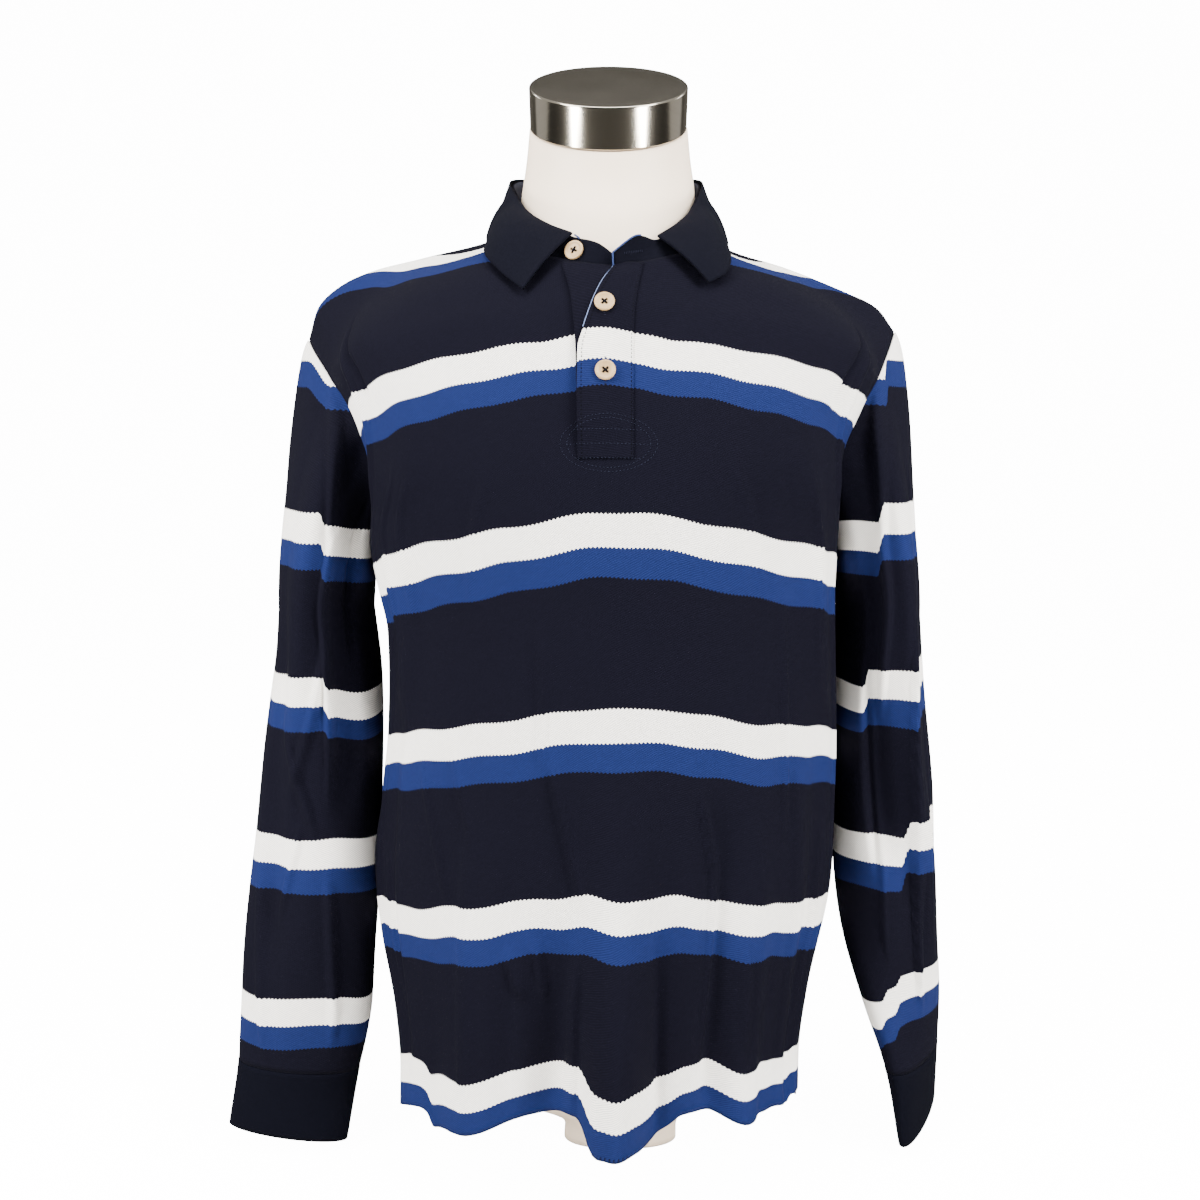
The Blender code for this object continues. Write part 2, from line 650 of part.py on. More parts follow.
def button(name, centre, normal, look):
    """Dished round button with four holes, turned to face along the normal."""
    profile = (
        (0.0, -BUTTON_THICK / 2),
        (BUTTON_RADIUS - 0.0008, -BUTTON_THICK / 2),
        (BUTTON_RADIUS, -BUTTON_THICK / 4),
        (BUTTON_RADIUS, BUTTON_THICK / 4),
        (BUTTON_RADIUS - 0.0005, BUTTON_THICK / 2),
        (BUTTON_RADIUS - BUTTON_RIM, BUTTON_THICK / 2),
        (BUTTON_RADIUS - BUTTON_RIM - 0.0006, BUTTON_THICK / 2 - BUTTON_DISH),
        (0.0, BUTTON_THICK / 2 - BUTTON_DISH),
    )
    shape = bmesh.new()
    points = [shape.verts.new((radius, 0.0, height)) for radius, height in profile]
    for first, second in zip(points, points[1:]):
        shape.edges.new((first, second))
    bmesh.ops.spin(
        shape, geom=shape.verts[:] + shape.edges[:], cent=(0, 0, 0), axis=(0, 0, 1),
        angle=2 * math.pi, steps=14, use_merge=True,
    )
    bmesh.ops.remove_doubles(shape, verts=shape.verts, dist=1e-6)
    bmesh.ops.recalc_face_normals(shape, faces=shape.faces)
    mesh = bpy.data.meshes.new(name)
    shape.to_mesh(mesh)
    shape.free()
    turn = Vector((0, 0, 1)).rotation_difference(normal).to_matrix().to_4x4()
    place = Matrix.Translation(centre) @ turn
    mesh.transform(place)
    made = add_object(name, mesh, look)
    for number, (x, y) in enumerate(((1, 1), (1, -1), (-1, 1), (-1, -1))):
        cutter_shape = bmesh.new()
        bmesh.ops.create_cone(
            cutter_shape, cap_ends=True, segments=6, radius1=HOLE_RADIUS, radius2=HOLE_RADIUS,
            depth=BUTTON_THICK * 2,
        )
        cutter_mesh = bpy.data.meshes.new(f"{name}_hole_{number}")
        cutter_shape.to_mesh(cutter_mesh)
        cutter_shape.free()
        cutter_mesh.transform(place @ Matrix.Translation((x * HOLE_PITCH, y * HOLE_PITCH, 0)))
        cutter = bpy.data.objects.new(f"{name}_hole_{number}", cutter_mesh)
        cutters.objects.link(cutter)
        cutter.hide_render = True
        cutter.display_type = "WIRE"
        cut = made.modifiers.new(f"hole {number}", "BOOLEAN")
        cut.operation = "DIFFERENCE"
        cut.solver = "EXACT"
        cut.object = cutter
    return made


def form_radius(angle, half, front, back, neck):
    """Radius of a form section: the trunk and the neck joined smoothly."""
    depth = front if math.cos(angle) > 0 else back
    power = 2.3
    trunk = (
        (abs(math.sin(angle)) / half) ** power + (abs(math.cos(angle)) / depth) ** power
    ) ** (-1 / power)
    blend = 6.0
    return (trunk**blend + neck**blend) ** (1 / blend)


def dress_form(look):
    """One closed body from the flat base to the slanted end of the neck."""
    shape = bmesh.new()
    rings = []
    for z, half, front, back, neck, tilt, centre_x in FORM_ROWS:
        lean = FORM_NECK_Y * ease(0.70, 0.78, z)
        slope = FORM_SLOPE * ease(0.50, 0.66, z) * (1 - ease(0.66, 0.74, z))
        ring = []
        for j in range(FORM_SEGMENTS):
            angle = 2 * math.pi * j / FORM_SEGMENTS
            radius = form_radius(angle, half, front, back, neck)
            stretch = math.sqrt(1 + tilt * tilt)
            x = centre_x + radius * math.sin(angle)
            y = -radius * math.cos(angle) / stretch
            ring.append(shape.verts.new((x, y + lean, z + tilt * y - slope * x)))
        rings.append(ring)
    for low, high in zip(rings, rings[1:]):
        for j in range(FORM_SEGMENTS):
            after = (j + 1) % FORM_SEGMENTS
            shape.faces.new((low[j], low[after], high[after], high[j]))
    shape.faces.new(tuple(reversed(rings[0])))
    shape.faces.new(tuple(rings[-1]))
    bmesh.ops.recalc_face_normals(shape, faces=shape.faces)
    mesh = bpy.data.meshes.new("dress_form")
    shape.to_mesh(mesh)
    shape.free()
    return add_object("dress_form", mesh, look)


def neck_cap(look):
    """Steel disc with softened edges on the slanted end of the neck."""
    shape = bmesh.new()
    bmesh.ops.create_cone(
        shape, cap_ends=True, segments=40, radius1=CAP_RADIUS, radius2=CAP_RADIUS,
        depth=CAP_HEIGHT,
    )
    edges = [edge for edge in shape.edges if any(len(face.verts) > 4 for face in edge.link_faces)]
    bmesh.ops.bevel(
        shape, geom=edges, offset=CAP_EDGE, segments=2, profile=0.5, affect="EDGES",
        material=-1,
    )
    mesh = bpy.data.meshes.new("neck_cap")
    shape.to_mesh(mesh)
    shape.free()
    turn = Matrix.Rotation(CAP_TILT, 4, "X")
    down = turn @ Vector((0, 0, -CAP_HEIGHT / 2))
    mesh.transform(Matrix.Translation(Vector(CAP_CENTRE) + down) @ turn)
    return add_object("neck_cap", mesh, look)


for existing in list(bpy.data.objects):
    bpy.data.objects.remove(existing, do_unlink=True)

collection = bpy.data.collections.new("polo_shirt")
bpy.context.scene.collection.children.link(collection)
cutters = bpy.data.collections.new("cutters")
bpy.context.scene.collection.children.link(cutters)

navy = material("navy_cloth", (0.016, 0.018, 0.032), 0.85)
navy_rib = material("navy_collar_cloth", (0.015, 0.016, 0.028), 0.88)
horn = material("cream_button", (0.72, 0.56, 0.39), 0.35)
shell = material("form_shell", (0.86, 0.80, 0.72), 0.45)
steel = material("brushed_steel", (0.50, 0.45, 0.38), 0.28, 1.0)

panel_sheet("front", True, FRONT_CELLS, navy)
panel_sheet("back", False, BACK_CELLS, navy)
sleeve_sheet("sleeve_right", RIGHT_SLEEVE_ROWS, RIGHT_RIDGES, -1, navy)
sleeve_sheet("sleeve_left", LEFT_SLEEVE_ROWS, LEFT_RIDGES, 1, navy)
cuff_sheet("cuff_right", RIGHT_SLEEVE_ROWS, -1, navy_rib)
cuff_sheet("cuff_left", LEFT_SLEEVE_ROWS, 1, navy_rib)

stand_count = STAND_CELLS[0]
stand_places = [-1.3 + 2.6 * j / stand_count for j in range(stand_count + 1)]
stand_rows = [
    [stand_point(place, i / STAND_CELLS[1]) for place in stand_places]
    for i in range(STAND_CELLS[1] + 1)
]
cloth_sheet("collar_stand", stand_rows, navy_rib)
collar_places = [-1 + 2 * j / COLLAR_CELLS[0] for j in range(COLLAR_CELLS[0] + 1)]
collar_rows = [
    [collar_point(place, i / COLLAR_CELLS[1]) for place in collar_places]
    for i in range(COLLAR_CELLS[1] + 1)
]
cloth_sheet("collar", collar_rows, navy_rib)

under_lift = CLOTH + LAYER_GAP
upper_lift = 2 * under_lift
placket_sheet("placket_under", UNDER_PLACKET_FOOT_V, (3, 4), under_lift, navy)
placket_sheet("placket_upper", PLACKET_ROWS[0][0], (1, 2), upper_lift, navy)

button_lift = upper_lift + CLOTH / 2 + BUTTON_GAP + BUTTON_THICK / 2
for button_name, x, v in PLACKET_BUTTONS:
    u = front_u(x, v)
    button(button_name, panel_point(u, v, True, button_lift), panel_normal(u, v, True), horn)
stand_along = stand_point(STAND_BUTTON_PLACE - 0.05, 0.5) - stand_point(STAND_BUTTON_PLACE + 0.05, 0.5)
stand_up = stand_point(STAND_BUTTON_PLACE, 1.0) - stand_point(STAND_BUTTON_PLACE, 0.0)
stand_face = stand_along.cross(stand_up).normalized()
if stand_face.y > 0:
    stand_face = -stand_face
stand_lift = CLOTH / 2 + 2 * BUTTON_GAP + BUTTON_THICK / 2
button("button_upper", stand_point(STAND_BUTTON_PLACE, 0.45) + stand_face * stand_lift, stand_face, horn)

dress_form(shell)
neck_cap(steel)
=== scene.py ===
"""Looks of the long-sleeved polo shirt and the limbless form that wears it.

Metres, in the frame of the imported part: +Z up, the front of the shirt faces -Y and
the wearer's right is at -X. Each cloth piece is a thin shell on the form of its solid,
with finer creases, its own UV map in metres of cloth, and stitches laid on it.
"""

import math
from bisect import bisect_right

import bmesh
import bpy
from mathutils import Matrix, Vector


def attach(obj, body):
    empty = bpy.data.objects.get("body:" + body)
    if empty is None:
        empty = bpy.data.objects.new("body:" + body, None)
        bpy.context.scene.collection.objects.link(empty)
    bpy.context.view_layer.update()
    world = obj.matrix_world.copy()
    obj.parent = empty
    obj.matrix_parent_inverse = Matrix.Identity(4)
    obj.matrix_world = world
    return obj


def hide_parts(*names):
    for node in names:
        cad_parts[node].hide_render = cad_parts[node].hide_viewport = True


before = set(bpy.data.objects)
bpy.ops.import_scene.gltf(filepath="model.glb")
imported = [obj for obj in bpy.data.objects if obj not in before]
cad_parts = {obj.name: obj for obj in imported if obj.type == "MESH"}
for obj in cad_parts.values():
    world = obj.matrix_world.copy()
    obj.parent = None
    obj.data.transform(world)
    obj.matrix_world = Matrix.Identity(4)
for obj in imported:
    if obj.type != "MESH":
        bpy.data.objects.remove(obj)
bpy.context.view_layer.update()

# Sizes in metres
CLOTH = 0.0015
RIB_CLOTH = 0.0020
SEAM_GAP = 0.0004
TOP_GAP = 0.0002
ARMHOLE_GAP = 0.0004
LAYER_GAP = 0.0009
CUFF_GAP = 0.0002
NECK_POINT_ANGLE = math.radians(104.5)
NECK_POINT_U = 0.245
ARMPIT_V = 0.433
SHOULDER_V = 0.645
NECK_V = 0.700
SLIT_FOOT_V = 0.470
HALF_CHEST = 0.27

# Stripes knitted in, as heights of cloth from the hem
STRIPE_REPEAT = 0.129
BLUE_TOP = 0.020
WHITE_TOP = 0.043

# Grid counts of the visible cloth: cells across and along
FRONT_CELLS = (201, 165)
BACK_CELLS = (130, 120)
SLEEVE_CELLS = (160, 130)
CUFF_CELLS = (104, 16)
STAND_CELLS = (150, 10)
COLLAR_CELLS = (170, 26)
PLACKET_CELLS = (16, 90)
FORM_SEGMENTS = 96
FORM_RINGS = 150

# Camera: focal length in pixels of the 1200 px wide picture, place, and pitch downward
PICTURE_WIDTH = 1200
FOCAL_PIXELS = 1216
CAMERA_PLACE = (-0.0045, -0.9429, 0.560)
CAMERA_PITCH = math.radians(7.0)

# Front panel, a row per height of cloth above the hem:
# height of cloth, centre Z, drop at the sides, half width toward -X and toward +X,
# depth at the centre, Y of the side edge, roundness of the section
FRONT_ROWS = (
    (0.000, 0.084, 0.040, 0.162, 0.151, 0.122, -0.034, 0.95),
    (0.043, 0.123, 0.040, 0.164, 0.154, 0.124, -0.016, 0.92),
    (0.100, 0.180, 0.038, 0.171, 0.163, 0.126, -0.003, 0.88),
    (0.172, 0.250, 0.037, 0.177, 0.174, 0.129, 0.000, 0.85),
    (0.250, 0.332, 0.042, 0.172, 0.176, 0.132, 0.000, 0.82),
    (0.301, 0.385, 0.045, 0.166, 0.176, 0.135, 0.000, 0.80),
    (0.370, 0.458, 0.046, 0.165, 0.174, 0.138, 0.000, 0.80),
    (0.400, 0.490, 0.046, 0.172, 0.174, 0.140, 0.000, 0.80),
    (0.433, 0.522, 0.044, 0.178, 0.175, 0.140, -0.002, 0.80),
    (0.475, 0.562, 0.050, 0.172, 0.171, 0.137, -0.036, 0.82),
    (0.525, 0.607, 0.050, 0.174, 0.172, 0.128, -0.048, 0.90),
    (0.559, 0.637, 0.045, 0.189, 0.187, 0.116, -0.045, 1.05),
    (0.582, 0.657, 0.045, 0.202, 0.200, 0.106, -0.033, 1.20),
    (0.645, 0.704, 0.059, 0.226, 0.219, 0.062, 0.000, 1.80),
    (0.700, 0.730, 0.066, 0.230, 0.223, 0.010, 0.018, 2.20),
)
# Back panel, same columns
BACK_ROWS = (
    (0.000, 0.036, 0.004, 0.166, 0.157, 0.120, 0.004, 0.85),
    (0.043, 0.088, 0.006, 0.166, 0.157, 0.121, 0.002, 0.85),
    (0.100, 0.149, 0.007, 0.171, 0.163, 0.122, 0.000, 0.83),
    (0.172, 0.224, 0.011, 0.177, 0.174, 0.122, 0.000, 0.80),
    (0.250, 0.303, 0.013, 0.172, 0.176, 0.116, 0.000, 0.80),
    (0.301, 0.354, 0.014, 0.166, 0.176, 0.112, 0.000, 0.80),
    (0.370, 0.428, 0.016, 0.165, 0.174, 0.114, 0.000, 0.78),
    (0.400, 0.460, 0.016, 0.172, 0.174, 0.116, 0.000, 0.78),
    (0.433, 0.494, 0.016, 0.178, 0.175, 0.118, 0.002, 0.78),
    (0.475, 0.536, 0.024, 0.174, 0.173, 0.121, 0.038, 0.80),
    (0.525, 0.586, 0.029, 0.176, 0.174, 0.122, 0.053, 0.85),
    (0.559, 0.619, 0.027, 0.190, 0.188, 0.119, 0.050, 0.95),
    (0.582, 0.641, 0.029, 0.203, 0.201, 0.114, 0.038, 1.05),
    (0.645, 0.699, 0.054, 0.226, 0.219, 0.090, 0.000, 1.45),
    (0.700, 0.741, 0.066, 0.230, 0.223, 0.062, -0.018, 2.00),
)
# Shoulder seam from the neck out: share of the way, X and Z on the -X side,
# X and Z on the +X side, Y
SHOULDER_ROWS = (
    (0.00, 0.0755, 0.7254, 0.0755, 0.7254, 0.012),
    (0.12, 0.0920, 0.7165, 0.0920, 0.7120, 0.010),
    (0.45, 0.1390, 0.7045, 0.1370, 0.6970, 0.006),
    (0.80, 0.1900, 0.6895, 0.1850, 0.6775, 0.002),
    (0.92, 0.2165, 0.6700, 0.2060, 0.6665, 0.001),
    (1.00, 0.2255, 0.6430, 0.2190, 0.6490, 0.000),
)
# Height of cloth along the front neckline and the back neckline: share out, height
FRONT_NECK_ROWS = ((0.0, 0.612), (0.25, 0.613), (0.5, 0.622), (0.75, 0.654), (1.0, 0.700))
BACK_NECK_ROWS = ((0.0, 0.690), (0.5, 0.691), (1.0, 0.700))

# Large folds: U at the hem and at the top, half width in U, outward depth,
# lowest and highest height of cloth, drop of the hem
FRONT_FOLDS = (
    (0.018, 0.045, 0.130, 0.031, -0.08, 0.300, 0.000),
    (-0.004, 0.020, 0.075, 0.000, -0.08, 0.300, 0.011),
    (0.092, 0.085, 0.120, 0.000, -0.08, 0.300, 0.014),
    (-0.170, -0.110, 0.100, -0.010, -0.02, 0.260, 0.000),
    (-0.440, -0.280, 0.190, 0.010, -0.08, 0.330, 0.014),
    (0.340, 0.300, 0.110, -0.009, -0.02, 0.340, 0.000),
    (0.460, 0.380, 0.110, 0.010, -0.08, 0.330, 0.008),
    (0.760, 0.640, 0.090, -0.007, -0.02, 0.420, 0.000),
    (-0.780, -0.720, 0.090, -0.007, 0.02, 0.450, 0.000),
    (-0.700, -0.550, 0.120, 0.006, 0.30, 0.560, 0.000),
    (0.700, 0.560, 0.120, 0.006, 0.30, 0.560, 0.000),
)
BACK_FOLDS = (
    (0.000, 0.000, 0.150, 0.010, -0.02, 0.350, 0.000),
    (-0.350, -0.250, 0.120, -0.008, -0.02, 0.400, 0.000),
    (0.400, 0.300, 0.130, -0.008, -0.02, 0.380, 0.000),
    (-0.650, -0.500, 0.120, 0.008, 0.02, 0.450, 0.000),
    (0.700, 0.550, 0.110, 0.007, 0.02, 0.450, 0.000),
)

# Finer fall of the front hem: U, extra drop in metres at the hem
HEM_ROWS = (
    (-1.00, -0.002),
    (-0.68, -0.003),
    (-0.62, 0.001),
    (-0.59, 0.011),
    (-0.55, 0.009),
    (-0.48, 0.001),
    (-0.42, -0.003),
    (-0.23, -0.001),
    (-0.13, -0.003),
    (-0.08, -0.002),
    (-0.06, 0.003),
    (-0.045, 0.010),
    (-0.03, 0.011),
    (0.00, 0.003),
    (0.04, 0.001),
    (0.09, 0.002),
    (0.14, 0.005),
    (0.19, 0.005),
    (0.24, -0.002),
    (0.40, -0.003),
    (0.46, -0.004),
    (0.55, 0.000),
    (0.63, -0.004),
    (0.77, -0.005),
    (0.80, -0.011),
    (1.00, -0.018),
)
HEM_REACH = 0.120

# Sleeves below the armhole: Z, centre outward, centre Y, long half, short half, turn,
# rise of the outer side
RIGHT_SLEEVE_ROWS = (
    (0.440, 0.2155, -0.006, 0.0345, 0.0560, 0.0, 0.000),
    (0.387, 0.2160, -0.010, 0.0400, 0.0520, 0.0, 0.000),
    (0.320, 0.2205, -0.014, 0.0455, 0.0460, 0.0, 0.000),
    (0.257, 0.2265, -0.018, 0.0480, 0.0400, 0.0, 0.001),
    (0.190, 0.2318, -0.020, 0.0500, 0.0330, 0.0, 0.002),
    (0.126, 0.2375, -0.020, 0.0515, 0.0260, 0.0, 0.003),
    (0.074, 0.2455, -0.020, 0.0475, 0.0190, 0.0, 0.004),
    (0.016, 0.2560, -0.020, 0.0465, 0.0130, 0.0, 0.007),
)
LEFT_SLEEVE_ROWS = (
    (0.440, 0.2105, -0.004, 0.0295, 0.0570, 0.0, 0.000),
    (0.387, 0.2125, -0.006, 0.0335, 0.0540, 0.0, 0.000),
    (0.320, 0.2160, -0.008, 0.0365, 0.0480, -4.0, 0.000),
    (0.257, 0.2195, -0.010, 0.0390, 0.0420, -14.0, 0.000),
    (0.190, 0.2270, -0.010, 0.0410, 0.0320, -28.0, 0.000),
    (0.126, 0.2385, -0.006, 0.0430, 0.0220, -44.0, 0.000),
    (0.074, 0.2500, -0.002, 0.0465, 0.0150, -58.0, 0.000),
    (0.016, 0.2575, 0.003, 0.0465, 0.0085, -62.0, 0.004),
)
# Sleeve ridges: angle round the sleeve at the top and the foot, half width, depth, Z from and to
RIGHT_RIDGES = (
    (80.0, 70.0, 24.0, 0.008, 0.700, 0.330),
    (120.0, 125.0, 26.0, -0.006, 0.560, 0.250),
    (250.0, 262.0, 30.0, 0.006, 0.620, 0.200),
    (48.0, 60.0, 22.0, -0.004, 0.480, 0.130),
)
LEFT_RIDGES = (
    (62.0, 76.0, 22.0, 0.008, 0.640, 0.130),
    (108.0, 112.0, 24.0, -0.006, 0.520, 0.220),
    (255.0, 250.0, 30.0, 0.006, 0.620, 0.200),
    (30.0, 34.0, 20.0, -0.004, 0.460, 0.120),
)
CUFF_TOP_Z = 0.074
CUFF_FOOT_Z = 0.016
# Sleeve head: its share of the length, how far it leaves the armhole outward and down,
# how far it arrives at the first section outward, and how steeply for each metre of height
HEAD_SHARE = 0.40
HEAD_OUT = 0.016
HEAD_OUT_CROWN = 0.022
HEAD_DOWN = 0.045
HEAD_DOWN_CROWN = 0.010
HEAD_ARRIVE = 0.010
HEAD_STEEP = 1.05
HEAD_LEAST = 0.03

# Collar: place round the neck (0 back, -1 and 1 the two front ends), fold X Y Z, edge X Y Z
COLLAR_ROWS = (
    (-1.00, -0.0232, -0.0785, 0.7080, -0.0570, -0.1010, 0.6690),
    (-0.85, -0.0400, -0.0640, 0.7165, -0.0735, -0.0760, 0.6830),
    (-0.70, -0.0550, -0.0420, 0.7290, -0.0860, -0.0350, 0.6990),
    (-0.55, -0.0665, -0.0120, 0.7480, -0.0895, 0.0010, 0.7205),
    (-0.35, -0.0705, 0.0300, 0.7665, -0.0820, 0.0480, 0.7250),
    (-0.17, -0.0450, 0.0660, 0.7740, -0.0500, 0.0850, 0.7280),
    (0.00, 0.0000, 0.0790, 0.7760, 0.0000, 0.0975, 0.7290),
    (0.17, 0.0450, 0.0660, 0.7740, 0.0500, 0.0850, 0.7280),
    (0.35, 0.0705, 0.0300, 0.7665, 0.0830, 0.0480, 0.7230),
    (0.55, 0.0680, -0.0120, 0.7480, 0.0915, 0.0010, 0.7165),
    (0.70, 0.0585, -0.0400, 0.7290, 0.0885, -0.0330, 0.6985),
    (0.85, 0.0470, -0.0620, 0.7160, 0.0835, -0.0700, 0.6830),
    (1.00, 0.0347, -0.0765, 0.7065, 0.0702, -0.0960, 0.6740),
)
# Stand beyond the collar ends: place round the neck, top X Y Z
STAND_END_ROWS = (
    (-1.30, 0.0052, -0.0900, 0.6945),
    (-1.18, -0.0060, -0.0875, 0.7025),
    (1.18, 0.0205, -0.0865, 0.7070),
    (1.30, 0.0045, -0.0910, 0.6950),
)
COLLAR_LIFT = 0.0072
FOLD_OUT = 0.0012
FOLD_UP = 0.0010
LEAF_BULGE = 0.0010
LEAF_FRONT_BULGE = 0.0050
LEAF_RISE = 0.0020
LEAF_SHOULDER_RISE = 0.0110
LEAF_SHOULDER_PLACE = 0.70
LEAF_SHOULDER_HALF = 0.26
STAND_FOOT_RISE = -0.0012
STAND_TOP_DROP = 0.0012
STAND_FRONT_ANGLE = math.radians(17.0)
STAND_UNDER_ANGLE = math.radians(-2.5)
STAND_OVER_ANGLE = math.radians(2.2)
STAND_LAP = 0.0026
STAND_END_PLACE = 1.3

# Plackets: height of cloth, X of both edges of the upper one, X of both edges of the under one
PLACKET_ROWS = (
    (0.455, -0.0190, 0.0176, -0.0190, 0.0120),
    (0.545, -0.0190, 0.0176, -0.0205, 0.0120),
    (0.560, -0.0150, 0.0180, -0.0215, 0.0125),
    (0.575, -0.0100, 0.0190, -0.0230, 0.0135),
    (0.592, -0.0035, 0.0215, -0.0260, 0.0150),
    (0.607, 0.0040, 0.0245, -0.0300, 0.0160),
    (0.612, 0.0055, 0.0252, -0.0308, 0.0164),
)
UNDER_PLACKET_FOOT_V = 0.500
UPPER_FOOT_V = 0.4675
PLACKET_HEAD_V = 0.6115
# How far the plackets lie off the front, and where the upper one has come loose of its foot
UNDER_LIFT = CLOTH + LAYER_GAP
UPPER_LIFT = 2 * UNDER_LIFT
FOOT_LIFT = 0.0010
UPPER_LOOSE_V = 0.502
# Both are pressed down below the stand: height where that begins, share of the lift lost
PRESS_V = 0.598
PRESS = 0.8
# The under placket shows navy alone, its own colour, which also stands in as painted shade in the
# gap beside the upper placket: height in the stripes at its foot, and its stretch
UNDER_STRIPES_AS_SHADE = (0.563, 0.70)
# Flat cut of the stand and the collar leaf, and their UV sizes
STAND_CLOTH = (0.46, 0.03)
COLLAR_CLOTH = (0.42, 0.06)

# Buttons: half of the section from the middle out, as radius and height
BUTTON_PROFILE = (
    (0.0, -0.0012), (0.0060, -0.0012), (0.0067, -0.0007), (0.0069, 0.0001),
    (0.0068, 0.0008), (0.0064, 0.00115), (0.0059, 0.0012), (0.0054, 0.00105),
    (0.0049, 0.0007), (0.0044, 0.00045), (0.0030, 0.0004), (0.0, 0.0004),
)
BUTTON_STEPS = 56
BUTTON_THICK = 0.0024
BUTTON_GAP = 0.0001
HOLE_RADIUS = 0.0008
HOLE_PITCH = 0.0013
# Crossed thread on a button: height, distance of its two strands, half sizes of a strand
THREAD_RISE = 0.00075
THREAD_APART = 0.00028
THREAD_STRAND = (0.0028, 0.00036, 0.00050, 1)
# Buttons on the placket: node, X, height of cloth
PLACKET_BUTTONS = (("button_middle", -0.0015, 0.576), ("button_lower", -0.0010, 0.529))
STAND_BUTTON_PLACE = -1.0
STAND_HOLE_PLACE = 1.16
# Buttonholes on the placket and on the stand
HOLE_LENGTH = 0.0185
STAND_HOLE_LENGTH = 0.0140
# Piping: where it starts on the placket's edge, and its radius
PIPING_FOOT_V = 0.560
PIPING_RADIUS = 0.0006

# Dress form: Z, half width, front depth, back depth, neck radius, tilt, centre X
FORM_ROWS = (
    (0.000, 0.046, 0.022, 0.090, 0.010, 0.00, 0.012),
    (0.018, 0.048, 0.023, 0.092, 0.010, 0.00, 0.012),
    (0.030, 0.068, 0.030, 0.098, 0.010, 0.00, 0.008),
    (0.044, 0.106, 0.042, 0.104, 0.010, 0.00, 0.003),
    (0.080, 0.142, 0.070, 0.109, 0.010, 0.00, 0.000),
    (0.130, 0.153, 0.084, 0.111, 0.010, 0.00, 0.001),
    (0.200, 0.157, 0.086, 0.111, 0.010, 0.00, 0.001),
    (0.330, 0.146, 0.090, 0.100, 0.010, 0.00, 0.002),
    (0.450, 0.153, 0.110, 0.102, 0.010, 0.00, 0.001),
    (0.520, 0.157, 0.122, 0.106, 0.020, 0.00, 0.001),
    (0.570, 0.161, 0.118, 0.108, 0.040, 0.00, 0.000),
    (0.610, 0.174, 0.103, 0.101, 0.060, 0.00, 0.000),
    (0.636, 0.180, 0.083, 0.086, 0.070, 0.00, 0.000),
    (0.654, 0.172, 0.064, 0.070, 0.073, 0.00, 0.000),
    (0.668, 0.156, 0.047, 0.056, 0.072, 0.00, 0.000),
    (0.682, 0.130, 0.034, 0.044, 0.071, 0.00, 0.000),
    (0.696, 0.100, 0.024, 0.032, 0.070, 0.00, 0.000),
    (0.712, 0.074, 0.018, 0.024, 0.0675, 0.05, 0.000),
    (0.735, 0.050, 0.015, 0.020, 0.0652, 0.16, 0.001),
    (0.760, 0.040, 0.012, 0.015, 0.0635, 0.34, 0.002),
    (0.780, 0.030, 0.010, 0.012, 0.0612, 0.50, 0.002),
    (0.800, 0.030, 0.010, 0.012, 0.0592, 0.5704, 0.002),
)
FORM_NECK_Y = 0.0075
FORM_SLOPE = 0.038
# Powers of the trunk's rounded section and of its joint with the neck
FORM_POWER = 2.3
FORM_JOINT = 6.0
CAP_RADIUS = 0.0587
CAP_HEIGHT = 0.0300
CAP_CENTRE = (0.0018, -0.0074, 0.8270)
CAP_TILT = math.radians(29.7)
CAP_EDGE = 0.0012
